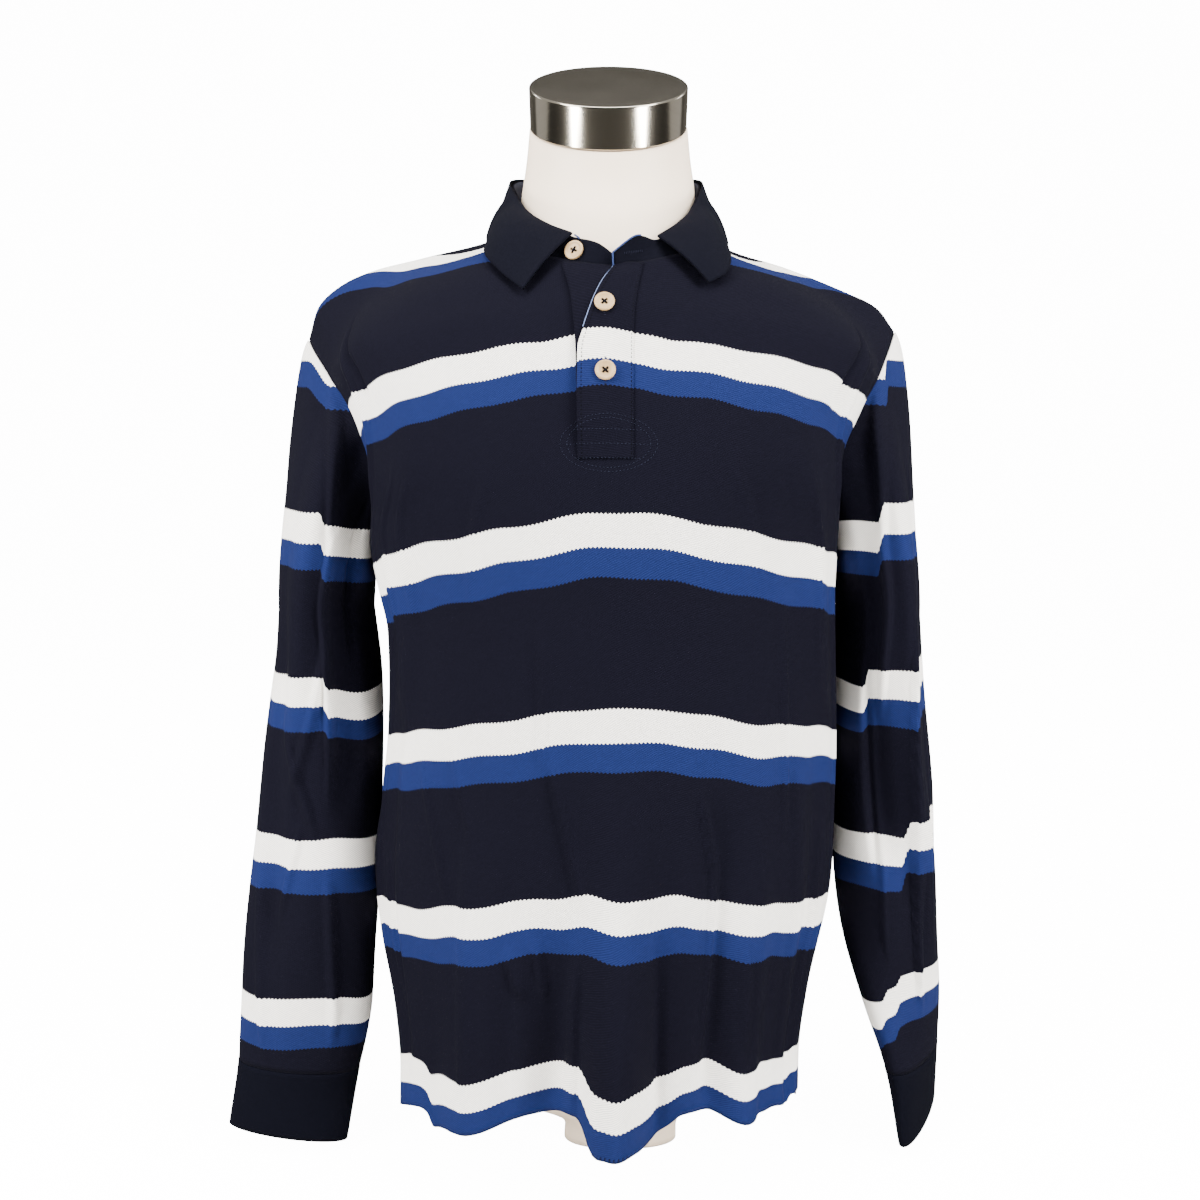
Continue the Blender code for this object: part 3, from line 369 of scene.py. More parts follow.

# Creases drawn one by one: U and height of cloth at both ends, half width in metres,
# outward depth in metres, lean of the steep side
FRONT_CREASES = (
    (-0.10, -0.01, -0.07, 0.14, 0.007, 0.0040, 0.5),
    (0.16, -0.01, 0.12, 0.16, 0.009, -0.0030, -0.3),
    (-0.30, 0.00, -0.24, 0.20, 0.014, -0.0025, 0.2),
    (-0.42, 0.00, -0.36, 0.24, 0.012, 0.0025, -0.3),
    (0.30, 0.00, 0.24, 0.22, 0.012, 0.0022, 0.3),
    (0.46, 0.00, 0.38, 0.24, 0.013, -0.0025, 0.2),
    (0.64, 0.00, 0.55, 0.30, 0.012, 0.0022, -0.3),
    (-0.88, 0.10, -0.80, 0.46, 0.010, 0.0030, 0.4),
    (0.86, 0.12, 0.80, 0.44, 0.010, 0.0026, -0.4),
    (-0.86, 0.47, -0.78, 0.60, 0.009, 0.0030, 0.4),
    (0.84, 0.46, 0.78, 0.60, 0.009, 0.0028, -0.4),
    (0.235, 0.245, 0.285, 0.185, 0.0050, 0.0042, 0.6),
    (0.285, 0.200, 0.290, 0.050, 0.0050, 0.0045, 0.6),
    (-0.150, 0.270, -0.060, 0.165, 0.0045, 0.0036, 0.5),
    (-0.170, 0.350, -0.160, 0.250, 0.0045, 0.0026, -0.4),
    (0.490, 0.380, 0.515, 0.215, 0.0040, 0.0028, 0.5),
    (-0.270, 0.135, -0.225, 0.095, 0.0050, 0.0034, 0.3),
    (-0.190, 0.140, -0.175, 0.090, 0.0040, 0.0034, 0.3),
    (-0.470, 0.300, -0.360, 0.215, 0.0050, 0.0028, 0.4),
    (-0.560, 0.270, -0.430, 0.170, 0.0050, 0.0026, -0.3),
    (-0.660, 0.480, -0.690, 0.350, 0.0040, 0.0036, 0.4),
    (-0.580, 0.470, -0.600, 0.370, 0.0040, 0.0028, 0.4),
    (-0.770, 0.610, -0.740, 0.530, 0.0060, -0.0040, 0.0),
    (0.760, 0.610, 0.720, 0.530, 0.0060, -0.0035, 0.0),
    (0.620, 0.470, 0.650, 0.330, 0.0045, 0.0030, -0.4),
    (0.400, 0.140, 0.430, 0.060, 0.0050, 0.0030, -0.3),
    (-0.090, 0.120, -0.110, 0.040, 0.0045, 0.0034, 0.4),
    (-0.800, 0.200, -0.780, 0.080, 0.0040, 0.0034, 0.4),
    (-0.870, 0.240, -0.860, 0.090, 0.0035, 0.0030, 0.4),
    (0.740, 0.220, 0.760, 0.060, 0.0040, 0.0032, -0.4),
    (0.330, 0.470, 0.420, 0.380, 0.0060, 0.0022, 0.3),
    (-0.300, 0.460, -0.380, 0.370, 0.0060, 0.0022, -0.3),
)
BACK_CREASES = (
    (-0.16, 0.00, -0.12, 0.26, 0.016, 0.0035, 0.3),
    (0.18, 0.00, 0.14, 0.24, 0.016, -0.0035, 0.2),
    (-0.54, 0.02, -0.42, 0.34, 0.014, 0.0030, -0.3),
    (0.56, 0.02, 0.44, 0.36, 0.014, 0.0030, 0.3),
    (-0.80, 0.40, -0.45, 0.56, 0.012, 0.0028, 0.2),
    (0.80, 0.40, 0.45, 0.56, 0.012, 0.0028, -0.2),
)
# Radius that turns an angle round a sleeve into metres of cloth
SLEEVE_GIRTH_RADIUS = 0.045
# Unevenness of the body's cloth, of the sleeves' cloth and of the stripes on it
FLUTTER = 0.0014
SLEEVE_FLUTTER = 0.0012
RIPPLE = 0.0009
# Sleeve creases: angle round the sleeve and Z at both ends, half width, depth, lean
RIGHT_SLEEVE_CREASES = (
    (56.0, 0.610, 98.0, 0.490, 0.0050, 0.0060, 0.6),
    (99.0, 0.500, 107.0, 0.300, 0.0055, 0.0060, 0.6),
    (128.0, 0.520, 136.0, 0.400, 0.0060, -0.0045, 0.0),
    (104.0, 0.420, 70.0, 0.300, 0.0060, 0.0040, 0.3),
    (60.0, 0.360, 100.0, 0.270, 0.0050, 0.0035, -0.3),
    (84.0, 0.280, 66.0, 0.200, 0.0040, 0.0030, 0.3),
    (40.0, 0.240, 60.0, 0.080, 0.0070, 0.0030, 0.0),
    (110.0, 0.240, 120.0, 0.090, 0.0060, 0.0035, 0.3),
    (250.0, 0.560, 262.0, 0.330, 0.0090, 0.0035, -0.3),
    (285.0, 0.400, 270.0, 0.180, 0.0080, 0.0025, 0.3),
)
LEFT_SLEEVE_CREASES = (
    (60.0, 0.610, 94.0, 0.490, 0.0050, 0.0060, -0.6),
    (94.0, 0.500, 108.0, 0.360, 0.0055, 0.0050, -0.5),
    (64.0, 0.430, 83.0, 0.260, 0.0050, 0.0055, -0.6),
    (83.0, 0.270, 103.0, 0.120, 0.0050, 0.0055, -0.6),
    (40.0, 0.560, 46.0, 0.420, 0.0060, 0.0030, 0.3),
    (122.0, 0.400, 128.0, 0.240, 0.0060, -0.0040, 0.0),
    (118.0, 0.250, 132.0, 0.170, 0.0040, 0.0030, 0.3),
    (250.0, 0.560, 262.0, 0.330, 0.0090, 0.0035, -0.3),
    (285.0, 0.400, 270.0, 0.180, 0.0080, 0.0025, 0.3),
)

# Height of cloth along the sleeves, for the stripes: Z, height
SLEEVE_CLOTH_ROWS = (
    (0.016, -0.078),
    (0.139, 0.043),
    (0.270, 0.172),
    (0.394, 0.301),
    (0.516, 0.430),
    (0.622, 0.536),
    (0.700, 0.616),
)
# Steps of the stripes at a pleat that hangs down the sleeve: distance from the middle of the body,
# half width, change of height of the cloth inside and outside of it, Z from and to
SLEEVE_STEPS = {
    -1: (
        (0.2070, 0.0012, 0.009, 0.000, 0.32, 0.60),
        (0.1950, 0.0140, 0.006, 0.000, 0.08, 0.60),
        (0.2130, 0.0120, 0.016, -0.006, 0.56, 0.72),
    ),
    1: (
        (0.2272, 0.0012, 0.000, -0.015, 0.18, 0.34),
        (0.2272, 0.0012, 0.000, -0.009, 0.33, 0.46),
        (0.1935, 0.0012, 0.009, -0.005, 0.33, 0.46),
        (0.2005, 0.0012, 0.008, -0.007, 0.43, 0.57),
        (0.2072, 0.0015, 0.010, -0.006, 0.55, 0.72),
        (0.2175, 0.0015, 0.005, -0.003, 0.03, 0.18),
        (0.2280, 0.0015, 0.000, -0.007, 0.03, 0.18),
        (0.2220, 0.0200, 0.002, -0.008, 0.03, 0.18),
    ),
}

# How far the stripes of the front hang below their even height, in metres:
# U, then a column for each height of cloth in SAG_HEIGHTS
SAG_HEIGHTS = (0.020, 0.150, 0.280, 0.410, 0.516, 0.559, 0.645)
SAG_ROWS = (
    (-1.00, 0.001, 0.000, 0.005, 0.009, -0.006, 0.004, 0.000),
    (-0.70, 0.002, 0.010, 0.007, 0.014, 0.005, 0.010, 0.010),
    (-0.52, 0.002, 0.010, 0.008, 0.013, 0.006, 0.009, 0.012),
    (-0.38, 0.000, -0.001, 0.007, 0.012, 0.006, 0.009, 0.015),
    (-0.22, 0.001, -0.001, 0.003, 0.008, 0.003, 0.006, 0.014),
    (-0.12, 0.001, 0.000, 0.000, 0.004, 0.001, 0.005, 0.010),
    (-0.03, -0.003, -0.006, -0.002, 0.001, -0.003, 0.000, 0.000),
    (0.07, -0.003, -0.009, -0.001, 0.000, -0.002, 0.002, 0.000),
    (0.15, 0.000, -0.005, -0.002, 0.002, 0.001, 0.004, 0.010),
    (0.26, 0.001, 0.001, 0.002, 0.006, 0.002, 0.005, 0.015),
    (0.43, 0.000, 0.003, 0.006, 0.010, 0.004, 0.007, 0.012),
    (0.62, 0.001, 0.007, 0.003, 0.011, 0.002, 0.006, 0.002),
    (0.80, 0.002, 0.004, 0.001, 0.008, -0.003, 0.007, -0.008),
    (1.00, 0.001, 0.000, 0.000, 0.003, -0.016, -0.005, -0.010),
)
LEAST_HEIGHT = 0.0004

# Twill ribs and the toothed edges of the stripes
RIB_PITCH = 0.0016
RIB_SLANT = -0.577
TOOTH_PITCH = 0.0028
TOOTH_DEPTH = 0.0005
STRIPE_SOFTNESS = 0.00025
TWILL_BUMP = 0.22
BUMP_DEPTH = 0.0005

# Oval stitched at the foot of the placket, and its bars' heights from its middle
OVAL_X = 0.0013
OVAL_V = 0.4784
OVAL_HALF_WIDTH = 0.0320
OVAL_HALF_HEIGHT = 0.0200
OVAL_INNER = 0.86
OVAL_BARS = (0.0093, -0.0007, -0.0107)
OVAL_STEPS = 96
BAR_STEPS = 40

# Linear colours
NAVY = (0.0031, 0.0029, 0.0062)
NAVY_LEAF = (0.0027, 0.0028, 0.0056)
NAVY_CUFF = (0.0018, 0.0019, 0.0043)
WHITE = (0.860, 0.820, 0.760)
BLUE = (0.0076, 0.0128, 0.0570)
PIPING = (0.120, 0.160, 0.290)
EDGE_BLUE = (0.012, 0.028, 0.110)
LINING = (0.009, 0.012, 0.030)
THREAD = (0.0110, 0.0120, 0.0220)
DARK_THREAD = (0.0020, 0.0020, 0.0035)
CREAM = (0.420, 0.270, 0.125)
SHELL = (0.950, 0.780, 0.600)
# Steel grey tinted warm: the warmth is a painted reflection of a warm ceiling
STEEL_PAINTED_WARM = (0.460, 0.415, 0.340)
FLOOR = (0.500, 0.500, 0.500)
FLOOR_GLOW = 14.0
# Floor and wall colours shown to glossy rays only: painted reflections in the steel cap
FLOOR_PAINTED_REFLECTION = (0.010, 0.009, 0.007)
WALL_PAINTED_REFLECTION = (0.160, 0.150, 0.130)
SKY_FRONT = (0.030, 0.028, 0.025)
SKY_BACK = (0.80, 0.79, 0.77)
SKY_STRENGTH = 0.8

# Sweep behind the shirt: half sizes, shift of its middle in halves, where it bends up, wall
SWEEP_HALF = (5.0, 4.0)
SWEEP_SHIFT = -0.25
SWEEP_BEND = (0, 3.0, 1.6)
SWEEP_WALL = 4.0
# Lamps: name, place, aim, width and height, watts
BODY_AIM = (0, 0, 0.66)
WALL_AIM = (0, 3.4, 1.0)
LAMPS = (
    ("key_left", (-1.35, -1.15, 1.45), BODY_AIM, (0.75, 1.3), 92.0),
    ("key_right", (1.35, -1.15, 1.45), BODY_AIM, (0.75, 1.3), 86.0),
    ("top", (0.0, -0.5, 2.3), (0, 0, 0.6), (1.6, 1.2), 60.0),
    ("back_left", (-1.8, 1.0, 1.8), WALL_AIM, (1.2, 1.6), 45.0),
    ("back_right", (1.8, 1.0, 1.8), WALL_AIM, (1.2, 1.6), 45.0),
    ("strip_left", (-0.95, -0.62, 0.15), CAP_CENTRE, (0.33, 0.22), 15.0),
    ("strip_right", (0.95, -0.62, 0.15), CAP_CENTRE, (0.33, 0.22), 15.0),
)


class Curves:
    """Smooth curves through the rows of a table, by its first column."""

    def __init__(self, rows):
        self.keys = [row[0] for row in rows]
        self.columns = list(zip(*rows))
        self.slopes = [self.column_slopes(column) for column in self.columns]

    def column_slopes(self, values):
        last = len(self.keys) - 1
        slopes = []
        for i in range(last + 1):
            before = max(i - 1, 0)
            after = min(i + 1, last)
            slopes.append((values[after] - values[before]) / (self.keys[after] - self.keys[before]))
        return slopes

    def at(self, column, key):
        """Value of a column at a key, held beyond both ends."""
        keys = self.keys
        values = self.columns[column]
        if key <= keys[0]:
            return values[0]
        if key >= keys[-1]:
            return values[-1]
        i = bisect_right(keys, key) - 1
        step = keys[i + 1] - keys[i]
        t = (key - keys[i]) / step
        slopes = self.slopes[column]
        return (
            values[i] * (2 * t**3 - 3 * t**2 + 1)
            + slopes[i] * step * (t**3 - 2 * t**2 + t)
            + values[i + 1] * (3 * t**2 - 2 * t**3)
            + slopes[i + 1] * step * (t**3 - t**2)
        )


FRONT_CURVES = Curves(FRONT_ROWS)
BACK_CURVES = Curves(BACK_ROWS)
SHOULDER_CURVES = Curves(SHOULDER_ROWS)
FRONT_NECK_CURVES = Curves(FRONT_NECK_ROWS)
BACK_NECK_CURVES = Curves(BACK_NECK_ROWS)
COLLAR_CURVES = Curves(COLLAR_ROWS)
STAND_CURVES = Curves(
    STAND_END_ROWS[:2] + tuple(row[:4] for row in COLLAR_ROWS) + STAND_END_ROWS[2:]
)
PLACKET_CURVES = Curves(PLACKET_ROWS)
FORM_CURVES = Curves(FORM_ROWS)
SLEEVE_CLOTH_CURVES = Curves(SLEEVE_CLOTH_ROWS)
SAG_CURVES = Curves(SAG_ROWS)
HEM_CURVES = Curves(HEM_ROWS)
SLEEVE_CURVES = {
    -1: Curves(tuple(reversed(RIGHT_SLEEVE_ROWS))),
    1: Curves(tuple(reversed(LEFT_SLEEVE_ROWS))),
}
SLEEVE_RIDGES = {-1: RIGHT_RIDGES, 1: LEFT_RIDGES}
SLEEVE_CREASES = {-1: RIGHT_SLEEVE_CREASES, 1: LEFT_SLEEVE_CREASES}
SLEEVE_HEAD_Z = RIGHT_SLEEVE_ROWS[0][0]


def ease(low, high, at):
    """0 below low, 1 above high, smooth between."""
    t = min(max((at - low) / (high - low), 0.0), 1.0)
    return t * t * (3 - 2 * t)


def bell(distance, half_width):
    """1 at the middle, 0 at the half width and beyond."""
    t = min(abs(distance) / half_width, 1.0)
    return 0.5 + 0.5 * math.cos(math.pi * t)


def crease_depth(creases, scale, a, b):
    """Depth of all creases at a place; scale turns the first coordinate into metres."""
    depth = 0.0
    for a_from, b_from, a_to, b_to, half, size, lean in creases:
        along_a = (a_to - a_from) * scale
        along_b = b_to - b_from
        length = math.hypot(along_a, along_b)
        from_a = (a - a_from) * scale
        from_b = b - b_from
        share = (from_a * along_a + from_b * along_b) / (length * length)
        if share < -0.1 or share > 1.1:
            continue
        off = (from_b * along_a - from_a * along_b) / length
        width = half * (1 + lean if off > 0 else 1 - lean)
        if abs(off) >= width:
            continue
        taper = ease(-0.1, 0.25, share) * (1 - ease(0.7, 1.1, share))
        depth += size * taper * bell(off, width)
    return depth


def flutter(across, along):
    """Slight unevenness of hanging cloth, around 0, from places in metres."""
    broad = math.sin(62 * across + 2.0 * math.sin(9 * along + 1.0))
    broad *= 0.5 + 0.5 * math.sin(7 * along + 2.3)
    fine = math.sin(105 * across - 3.0 * math.sin(6 * along))
    fine *= 0.5 + 0.5 * math.sin(11 * along)
    return 0.6 * broad + 0.4 * fine


def neck_seam(angle):
    """Seam of shirt and stand: angle 0 at the front, pi at the back, positive to +X."""
    rise = abs(math.sin(angle / 2)) ** 1.5
    return Vector((
        0.002 + 0.078 * math.sin(angle),
        -0.008 - 0.080 * math.cos(angle),
        0.686 + 0.056 * rise,
    ))


def shoulder_seam(share, side):
    """Point of the shoulder seam, share 0 at the neck and 1 at the sleeve."""
    columns = (1, 2) if side < 0 else (3, 4)
    return Vector((
        side * SHOULDER_CURVES.at(columns[0], share),
        SHOULDER_CURVES.at(5, share),
        SHOULDER_CURVES.at(columns[1], share),
    ))


def panel_top(u, is_front):
    """Height of cloth at the top edge and the point it is sewn to."""
    side = -1 if u < 0 else 1
    out = abs(u)
    if out < NECK_POINT_U:
        share = out / NECK_POINT_U
        if is_front:
            angle = share**1.5 * NECK_POINT_ANGLE
            return FRONT_NECK_CURVES.at(1, share), neck_seam(side * angle)
        angle = math.pi - share * (math.pi - NECK_POINT_ANGLE)
        return BACK_NECK_CURVES.at(1, share), neck_seam(side * angle)
    share = (out - NECK_POINT_U) / (1 - NECK_POINT_U)
    return NECK_V + (SHOULDER_V - NECK_V) * share, shoulder_seam(share, side)


def panel_base(u, v, is_front):
    """Point of the smooth panel before folds and top edge."""
    curves = FRONT_CURVES if is_front else BACK_CURVES
    half = curves.at(3 if u < 0 else 4, v)
    edge = curves.at(6, v)
    facing = -1 if is_front else 1
    turn = u * math.pi / 2
    crown = max(math.cos(turn), 0.0) ** curves.at(7, v)
    return Vector((
        half * math.sin(turn),
        edge + (facing * curves.at(5, v) - edge) * crown,
        curves.at(1, v) - curves.at(2, v) * u * u,
    ))


def fold_depth(folds, u, v):
    """Outward depth and drop of all large folds at a place on the panel."""
    depth = 0.0
    drop = 0.0
    for u_low, u_high, half, size, low, high, hem_drop in folds:
        share = min(max((v - low) / (high - low), 0.0), 1.0)
        centre = u_low + (u_high - u_low) * share
        strength = bell(u - centre, half) * (1 - ease(0.15, 1.0, share))
        strength *= ease(low - 0.01, low + 0.04, v)
        depth += size * strength
        drop += hem_drop * strength
    return depth, drop


def panel_point(u, v, is_front, lift=0.0):
    """Point of a panel with its folds and creases, lifted outward."""
    top, seam = panel_top(u, is_front)
    point = panel_base(u, v, is_front)
    near_top = ease(top - 0.090, top, v)
    if near_top > 0:
        point += (seam - panel_base(u, top, is_front)) * near_top
    depth, drop = fold_depth(FRONT_FOLDS if is_front else BACK_FOLDS, u, v)
    creases = FRONT_CREASES if is_front else BACK_CREASES
    depth += crease_depth(creases, HALF_CHEST, u, v) * (1 - near_top)
    if is_front:
        depth += FLUTTER * flutter(u * HALF_CHEST, v) * (1 - near_top) * ease(0.10, 0.25, abs(u))
    else:
        depth += FLUTTER * flutter(u * HALF_CHEST + 0.4, v) * (1 - near_top)
    fade = 1 - ease(0.92, 1.0, abs(u))
    facing = -1 if is_front else 1
    turn = u * math.pi / 2
    point += Vector((math.sin(turn), facing * math.cos(turn), 0.0)) * (depth * fade)
    point.z -= drop * fade
    if is_front and v < HEM_REACH:
        point.z -= HEM_CURVES.at(1, u) * (1 - ease(0.0, HEM_REACH, v))
    if lift:
        point += panel_normal(u, v, is_front) * lift
    return point


def panel_normal(u, v, is_front):
    """Outward direction of a panel."""
    step_u = 0.01
    step_v = 0.004
    across = panel_point(u + step_u, v, is_front) - panel_point(u - step_u, v, is_front)
    along = panel_point(u, v + step_v, is_front) - panel_point(u, v - step_v, is_front)
    normal = across.cross(along).normalized()
    return normal if is_front else -normal


def front_u(x, v):
    """Place across the front panel whose X is given."""
    low, high = -0.9, 0.9
    for _ in range(20):
        middle = (low + high) / 2
        if panel_point(middle, v, True).x < x:
            low = middle
        else:
            high = middle
    return (low + high) / 2


def front_face(x, z):
    """Point of the front panel whose X and Z are given."""
    low, high = 0.30, 0.69
    for _ in range(16):
        v = (low + high) / 2
        point = panel_point(front_u(x, v), v, True)
        if point.z < z:
            low = v
        else:
            high = v
    return point


def armhole(share, side, is_front):
    """Armhole point, share 0 at the shoulder and 1 at the armpit."""
    v = SHOULDER_V + (ARMPIT_V - SHOULDER_V) * share
    return panel_point(float(side), v, is_front)


def sleeve_ring(z, angle, side):
    """Point of a level sleeve section; angle 0 outward, 90 degrees front."""
    curves = SLEEVE_CURVES[side]
    turn = math.radians(curves.at(5, z))
    along = curves.at(3, z) * math.cos(angle)
    across = curves.at(4, z) * math.sin(angle)
    out = curves.at(1, z) + along * math.cos(turn) - across * math.sin(turn)
    y = curves.at(2, z) - along * math.sin(turn) - across * math.cos(turn)
    return Vector((side * out, y, z + curves.at(6, z) * math.cos(angle)))


def sleeve_base(angle, share, side):
    """Point of the smooth sleeve; share 0 at the armhole and 1 at the cuff seam."""
    is_front = angle <= math.pi
    around = angle / math.pi if is_front else (2 * math.pi - angle) / math.pi
    if share >= HEAD_SHARE:
        t = (share - HEAD_SHARE) / (1 - HEAD_SHARE)
        z = SLEEVE_HEAD_Z + (CUFF_TOP_Z + CUFF_GAP - SLEEVE_HEAD_Z) * t
        return sleeve_ring(z, angle, side)
    t = share / HEAD_SHARE
    start = armhole(around, side, is_front)
    end = sleeve_ring(SLEEVE_HEAD_Z, angle, side)
    outward = 0.5 + 0.5 * math.cos(angle)
    leave = Vector((
        side * (HEAD_OUT + HEAD_OUT_CROWN * outward),
        0.0,
        -HEAD_DOWN - HEAD_DOWN_CROWN * outward,
    ))
    start.x += side * ARMHOLE_GAP
    arrive = Vector((side * HEAD_ARRIVE, 0.0, -HEAD_LEAST - HEAD_STEEP * (start.z - end.z)))
    return (
        start * (2 * t**3 - 3 * t**2 + 1)
        + leave * (t**3 - 2 * t**2 + t)
        + end * (3 * t**2 - 2 * t**3)
        + arrive * (t**3 - t**2)
    )


def sleeve_point(angle, share, side):
    """Point of a sleeve with its ridges and creases."""
    angle = angle % (2 * math.pi)
    point = sleeve_base(angle, share, side)
    depth = 0.0
    for top_angle, foot_angle, half, size, high, low in SLEEVE_RIDGES[side]:
        along = min(max((high - point.z) / (high - low), 0.0), 1.0)
        middle = math.radians(top_angle + (foot_angle - top_angle) * along)
        strength = ease(0.0, 0.25, along) * (1 - ease(0.75, 1.0, along))
        depth += size * strength * bell(angle - middle, math.radians(half))
    scale = SLEEVE_GIRTH_RADIUS * math.pi / 180
    near_head = ease(0.0, 0.06, share) * (1 - ease(0.97, 1.0, share))
    depth += crease_depth(SLEEVE_CREASES[side], scale, math.degrees(angle), point.z) * near_head
    slanted = math.sin(2 * angle + 40 * point.z + 1.5 * math.sin(3 * angle) + side)
    crossing = math.sin(5 * angle - 24 * point.z + 2 * side)
    depth += SLEEVE_FLUTTER * (0.6 * slanted + 0.4 * crossing) * near_head
    curves = SLEEVE_CURVES[side]
    z = min(max(point.z, CUFF_FOOT_Z), SLEEVE_HEAD_Z)
    axis = Vector((side * curves.at(1, z), curves.at(2, z), point.z))
    out = point - axis
    if out.length > 0:
        point += out.normalized() * depth
    return point


def cuff_point(angle, share, side):
    """Point of a cuff; share 0 at the sleeve seam and 1 at the open end."""
    top = CUFF_TOP_Z - CUFF_GAP
    return sleeve_ring(top + (CUFF_FOOT_Z - top) * share, angle, side)


def neck_angle(place):
    """Angle of the neck seam at a place round the collar."""
    out = abs(place)
    if out <= 1:
        angle = math.pi - (math.pi - STAND_FRONT_ANGLE) * out
    else:
        past = (out - 1) / (STAND_END_PLACE - 1)
        end = STAND_OVER_ANGLE if place > 0 else STAND_UNDER_ANGLE
        angle = STAND_FRONT_ANGLE + (end - STAND_FRONT_ANGLE) * past
    return angle if place > 0 else -angle


def fold_line(place):
    """Top of the stand, where the collar turns over."""
    return Vector([STAND_CURVES.at(column, place) for column in (1, 2, 3)])


def stand_point(place, share):
    """Point of the stand, share 0 at its foot and 1 at its top."""
    foot = neck_seam(neck_angle(place)) + Vector((0.0, 0.0, STAND_FOOT_RISE))
    top = fold_line(place)
    inward = Vector((0.002 - foot.x, -foot.y, 0.0)).normalized()
    top += Vector((0.0, 0.0, -STAND_TOP_DROP)) + inward * STAND_TOP_DROP
    lap = STAND_LAP * ease(1.05, STAND_END_PLACE, place)
    return foot.lerp(top, share) + Vector((0.0, -lap, 0.0))


def collar_point(place, share):
    """Point of the collar leaf, share 0 at the fold and 1 at its outer edge."""
    fold = Vector([COLLAR_CURVES.at(column, place) for column in (1, 2, 3)])
    edge = collar_edge(place)
    front = ease(0.46, 0.60, abs(place))
    out = Vector((fold.x - 0.002, fold.y - 0.002, 0.0)).normalized()
    start = fold + out * FOLD_OUT + Vector((0.0, 0.0, FOLD_UP))
    bulge = (start + edge) / 2 + out * (LEAF_BULGE + LEAF_FRONT_BULGE * front)
    shoulder = bell(abs(place) - LEAF_SHOULDER_PLACE, LEAF_SHOULDER_HALF)
    bulge.z += LEAF_RISE + LEAF_SHOULDER_RISE * shoulder
    first = start.lerp(bulge, share)
    second = bulge.lerp(edge, share)
    return first.lerp(second, share)


collar_edges = {}


def collar_edge(place):
    """Outer edge of the collar leaf, kept off the shirt it lies on."""
    key = round(place, 5)
    if key not in collar_edges:
        edge = Vector([COLLAR_CURVES.at(column, place) for column in (4, 5, 6)])
        front = ease(0.46, 0.60, abs(place))
        if front > 0:
            edge.y += (front_face(edge.x, edge.z).y - COLLAR_LIFT - edge.y) * front
        collar_edges[key] = edge
    return collar_edges[key].copy()


def new_piece(name, shape, looks, stands_for=()):
    """Mesh of a bmesh as a finished piece that rides on the part."""
    mesh = bpy.data.meshes.new(name)
    shape.to_mesh(mesh)
    shape.free()
    mesh.shade_smooth()
    piece = bpy.data.objects.new(name, mesh)
    bpy.context.scene.collection.objects.link(piece)
    for look in looks:
        mesh.materials.append(look)
    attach(piece, "root")
    if stands_for:
        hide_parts(*stands_for)
    return piece


def cloth_piece(
    node, cells, place, cloth, looks,
    thickness=CLOTH, ring=False, missing=None, turned=False,
):
    """Grid of cloth laid by place(across, along), both 0 to 1, with its wall and UV map."""
    shape = bmesh.new()
    bmesh.ops.create_grid(shape, x_segments=cells[0], y_segments=cells[1], size=0.5)
    sheet_uv = shape.loops.layers.uv.new("cloth")
    for face in shape.faces:
        for loop in face.loops:
            across, along = loop.vert.co.x + 0.5, loop.vert.co.y + 0.5
            loop[sheet_uv].uv = cloth(across, along)
    if missing:
        gone = [
            face for face in shape.faces
            if missing(face.calc_center_median() + Vector((0.5, 0.5, 0)))
        ]
        bmesh.ops.delete(shape, geom=gone, context="FACES")
    for vert in shape.verts:
        vert.co = place(vert.co.x + 0.5, vert.co.y + 0.5)
    if ring:
        edge_verts = [vert for vert in shape.verts if vert.is_boundary]
        bmesh.ops.remove_doubles(shape, verts=edge_verts, dist=1e-6)
    if turned:
        bmesh.ops.reverse_faces(shape, faces=shape.faces)
    piece = new_piece(f"{node}_cloth", shape, looks, (node,))
    wall = piece.modifiers.new("wall", "SOLIDIFY")
    wall.thickness = thickness
    wall.offset = 0.0
    wall.use_even_offset = True
    wall.use_rim = True
    if len(looks) > 1:
        wall.material_offset = 1
    return piece


def add_node(tree, kind, inputs=(), **settings):
    """Node with its settings; each input is a value or the socket that feeds it."""
    made = tree.nodes.new(kind)
    for name, value in settings.items():
        setattr(made, name, value)
    for key, value in dict(inputs).items():
        if isinstance(value, bpy.types.NodeSocket):
            tree.links.new(value, made.inputs[key])
        else:
            made.inputs[key].default_value = value
    return made


def arithmetic(tree, operation, *values):
    """Result of a Math node."""
    return add_node(tree, "ShaderNodeMath", dict(enumerate(values)), operation=operation).outputs[0]


def blend_colour(tree, share, first, second, mode="MIX"):
    """Result of mixing two colours; plain colours get their alpha here."""
    values = {0: share}
    for key, colour in ((6, first), (7, second)):
        values[key] = colour if isinstance(colour, bpy.types.NodeSocket) else (*colour, 1.0)
    mix = add_node(tree, "ShaderNodeMix", values, data_type="RGBA", blend_type=mode)
    return mix.outputs[2]


def spread(tree, value, low, high, to_low=0.0, to_high=1.0):
    """Value mapped smoothly from one range to another."""
    node = add_node(
        tree, "ShaderNodeMapRange", {0: value, 1: low, 2: high, 3: to_low, 4: to_high},
        interpolation_type="SMOOTHSTEP",
    )
    return node.outputs[0]


def new_group(name, inputs, outputs):
    """Empty node group with named inputs (with defaults) and outputs."""
    group = bpy.data.node_groups.new(name, "ShaderNodeTree")
    for label, kind, value in inputs:
        socket = group.interface.new_socket(label, in_out="INPUT", socket_type=kind)
        if value is not None:
            socket.default_value = value
    for label, kind in outputs:
        group.interface.new_socket(label, in_out="OUTPUT", socket_type=kind)
    source = group.nodes.new("NodeGroupInput").outputs
    drain = group.nodes.new("NodeGroupOutput").inputs
    return group, source, drain


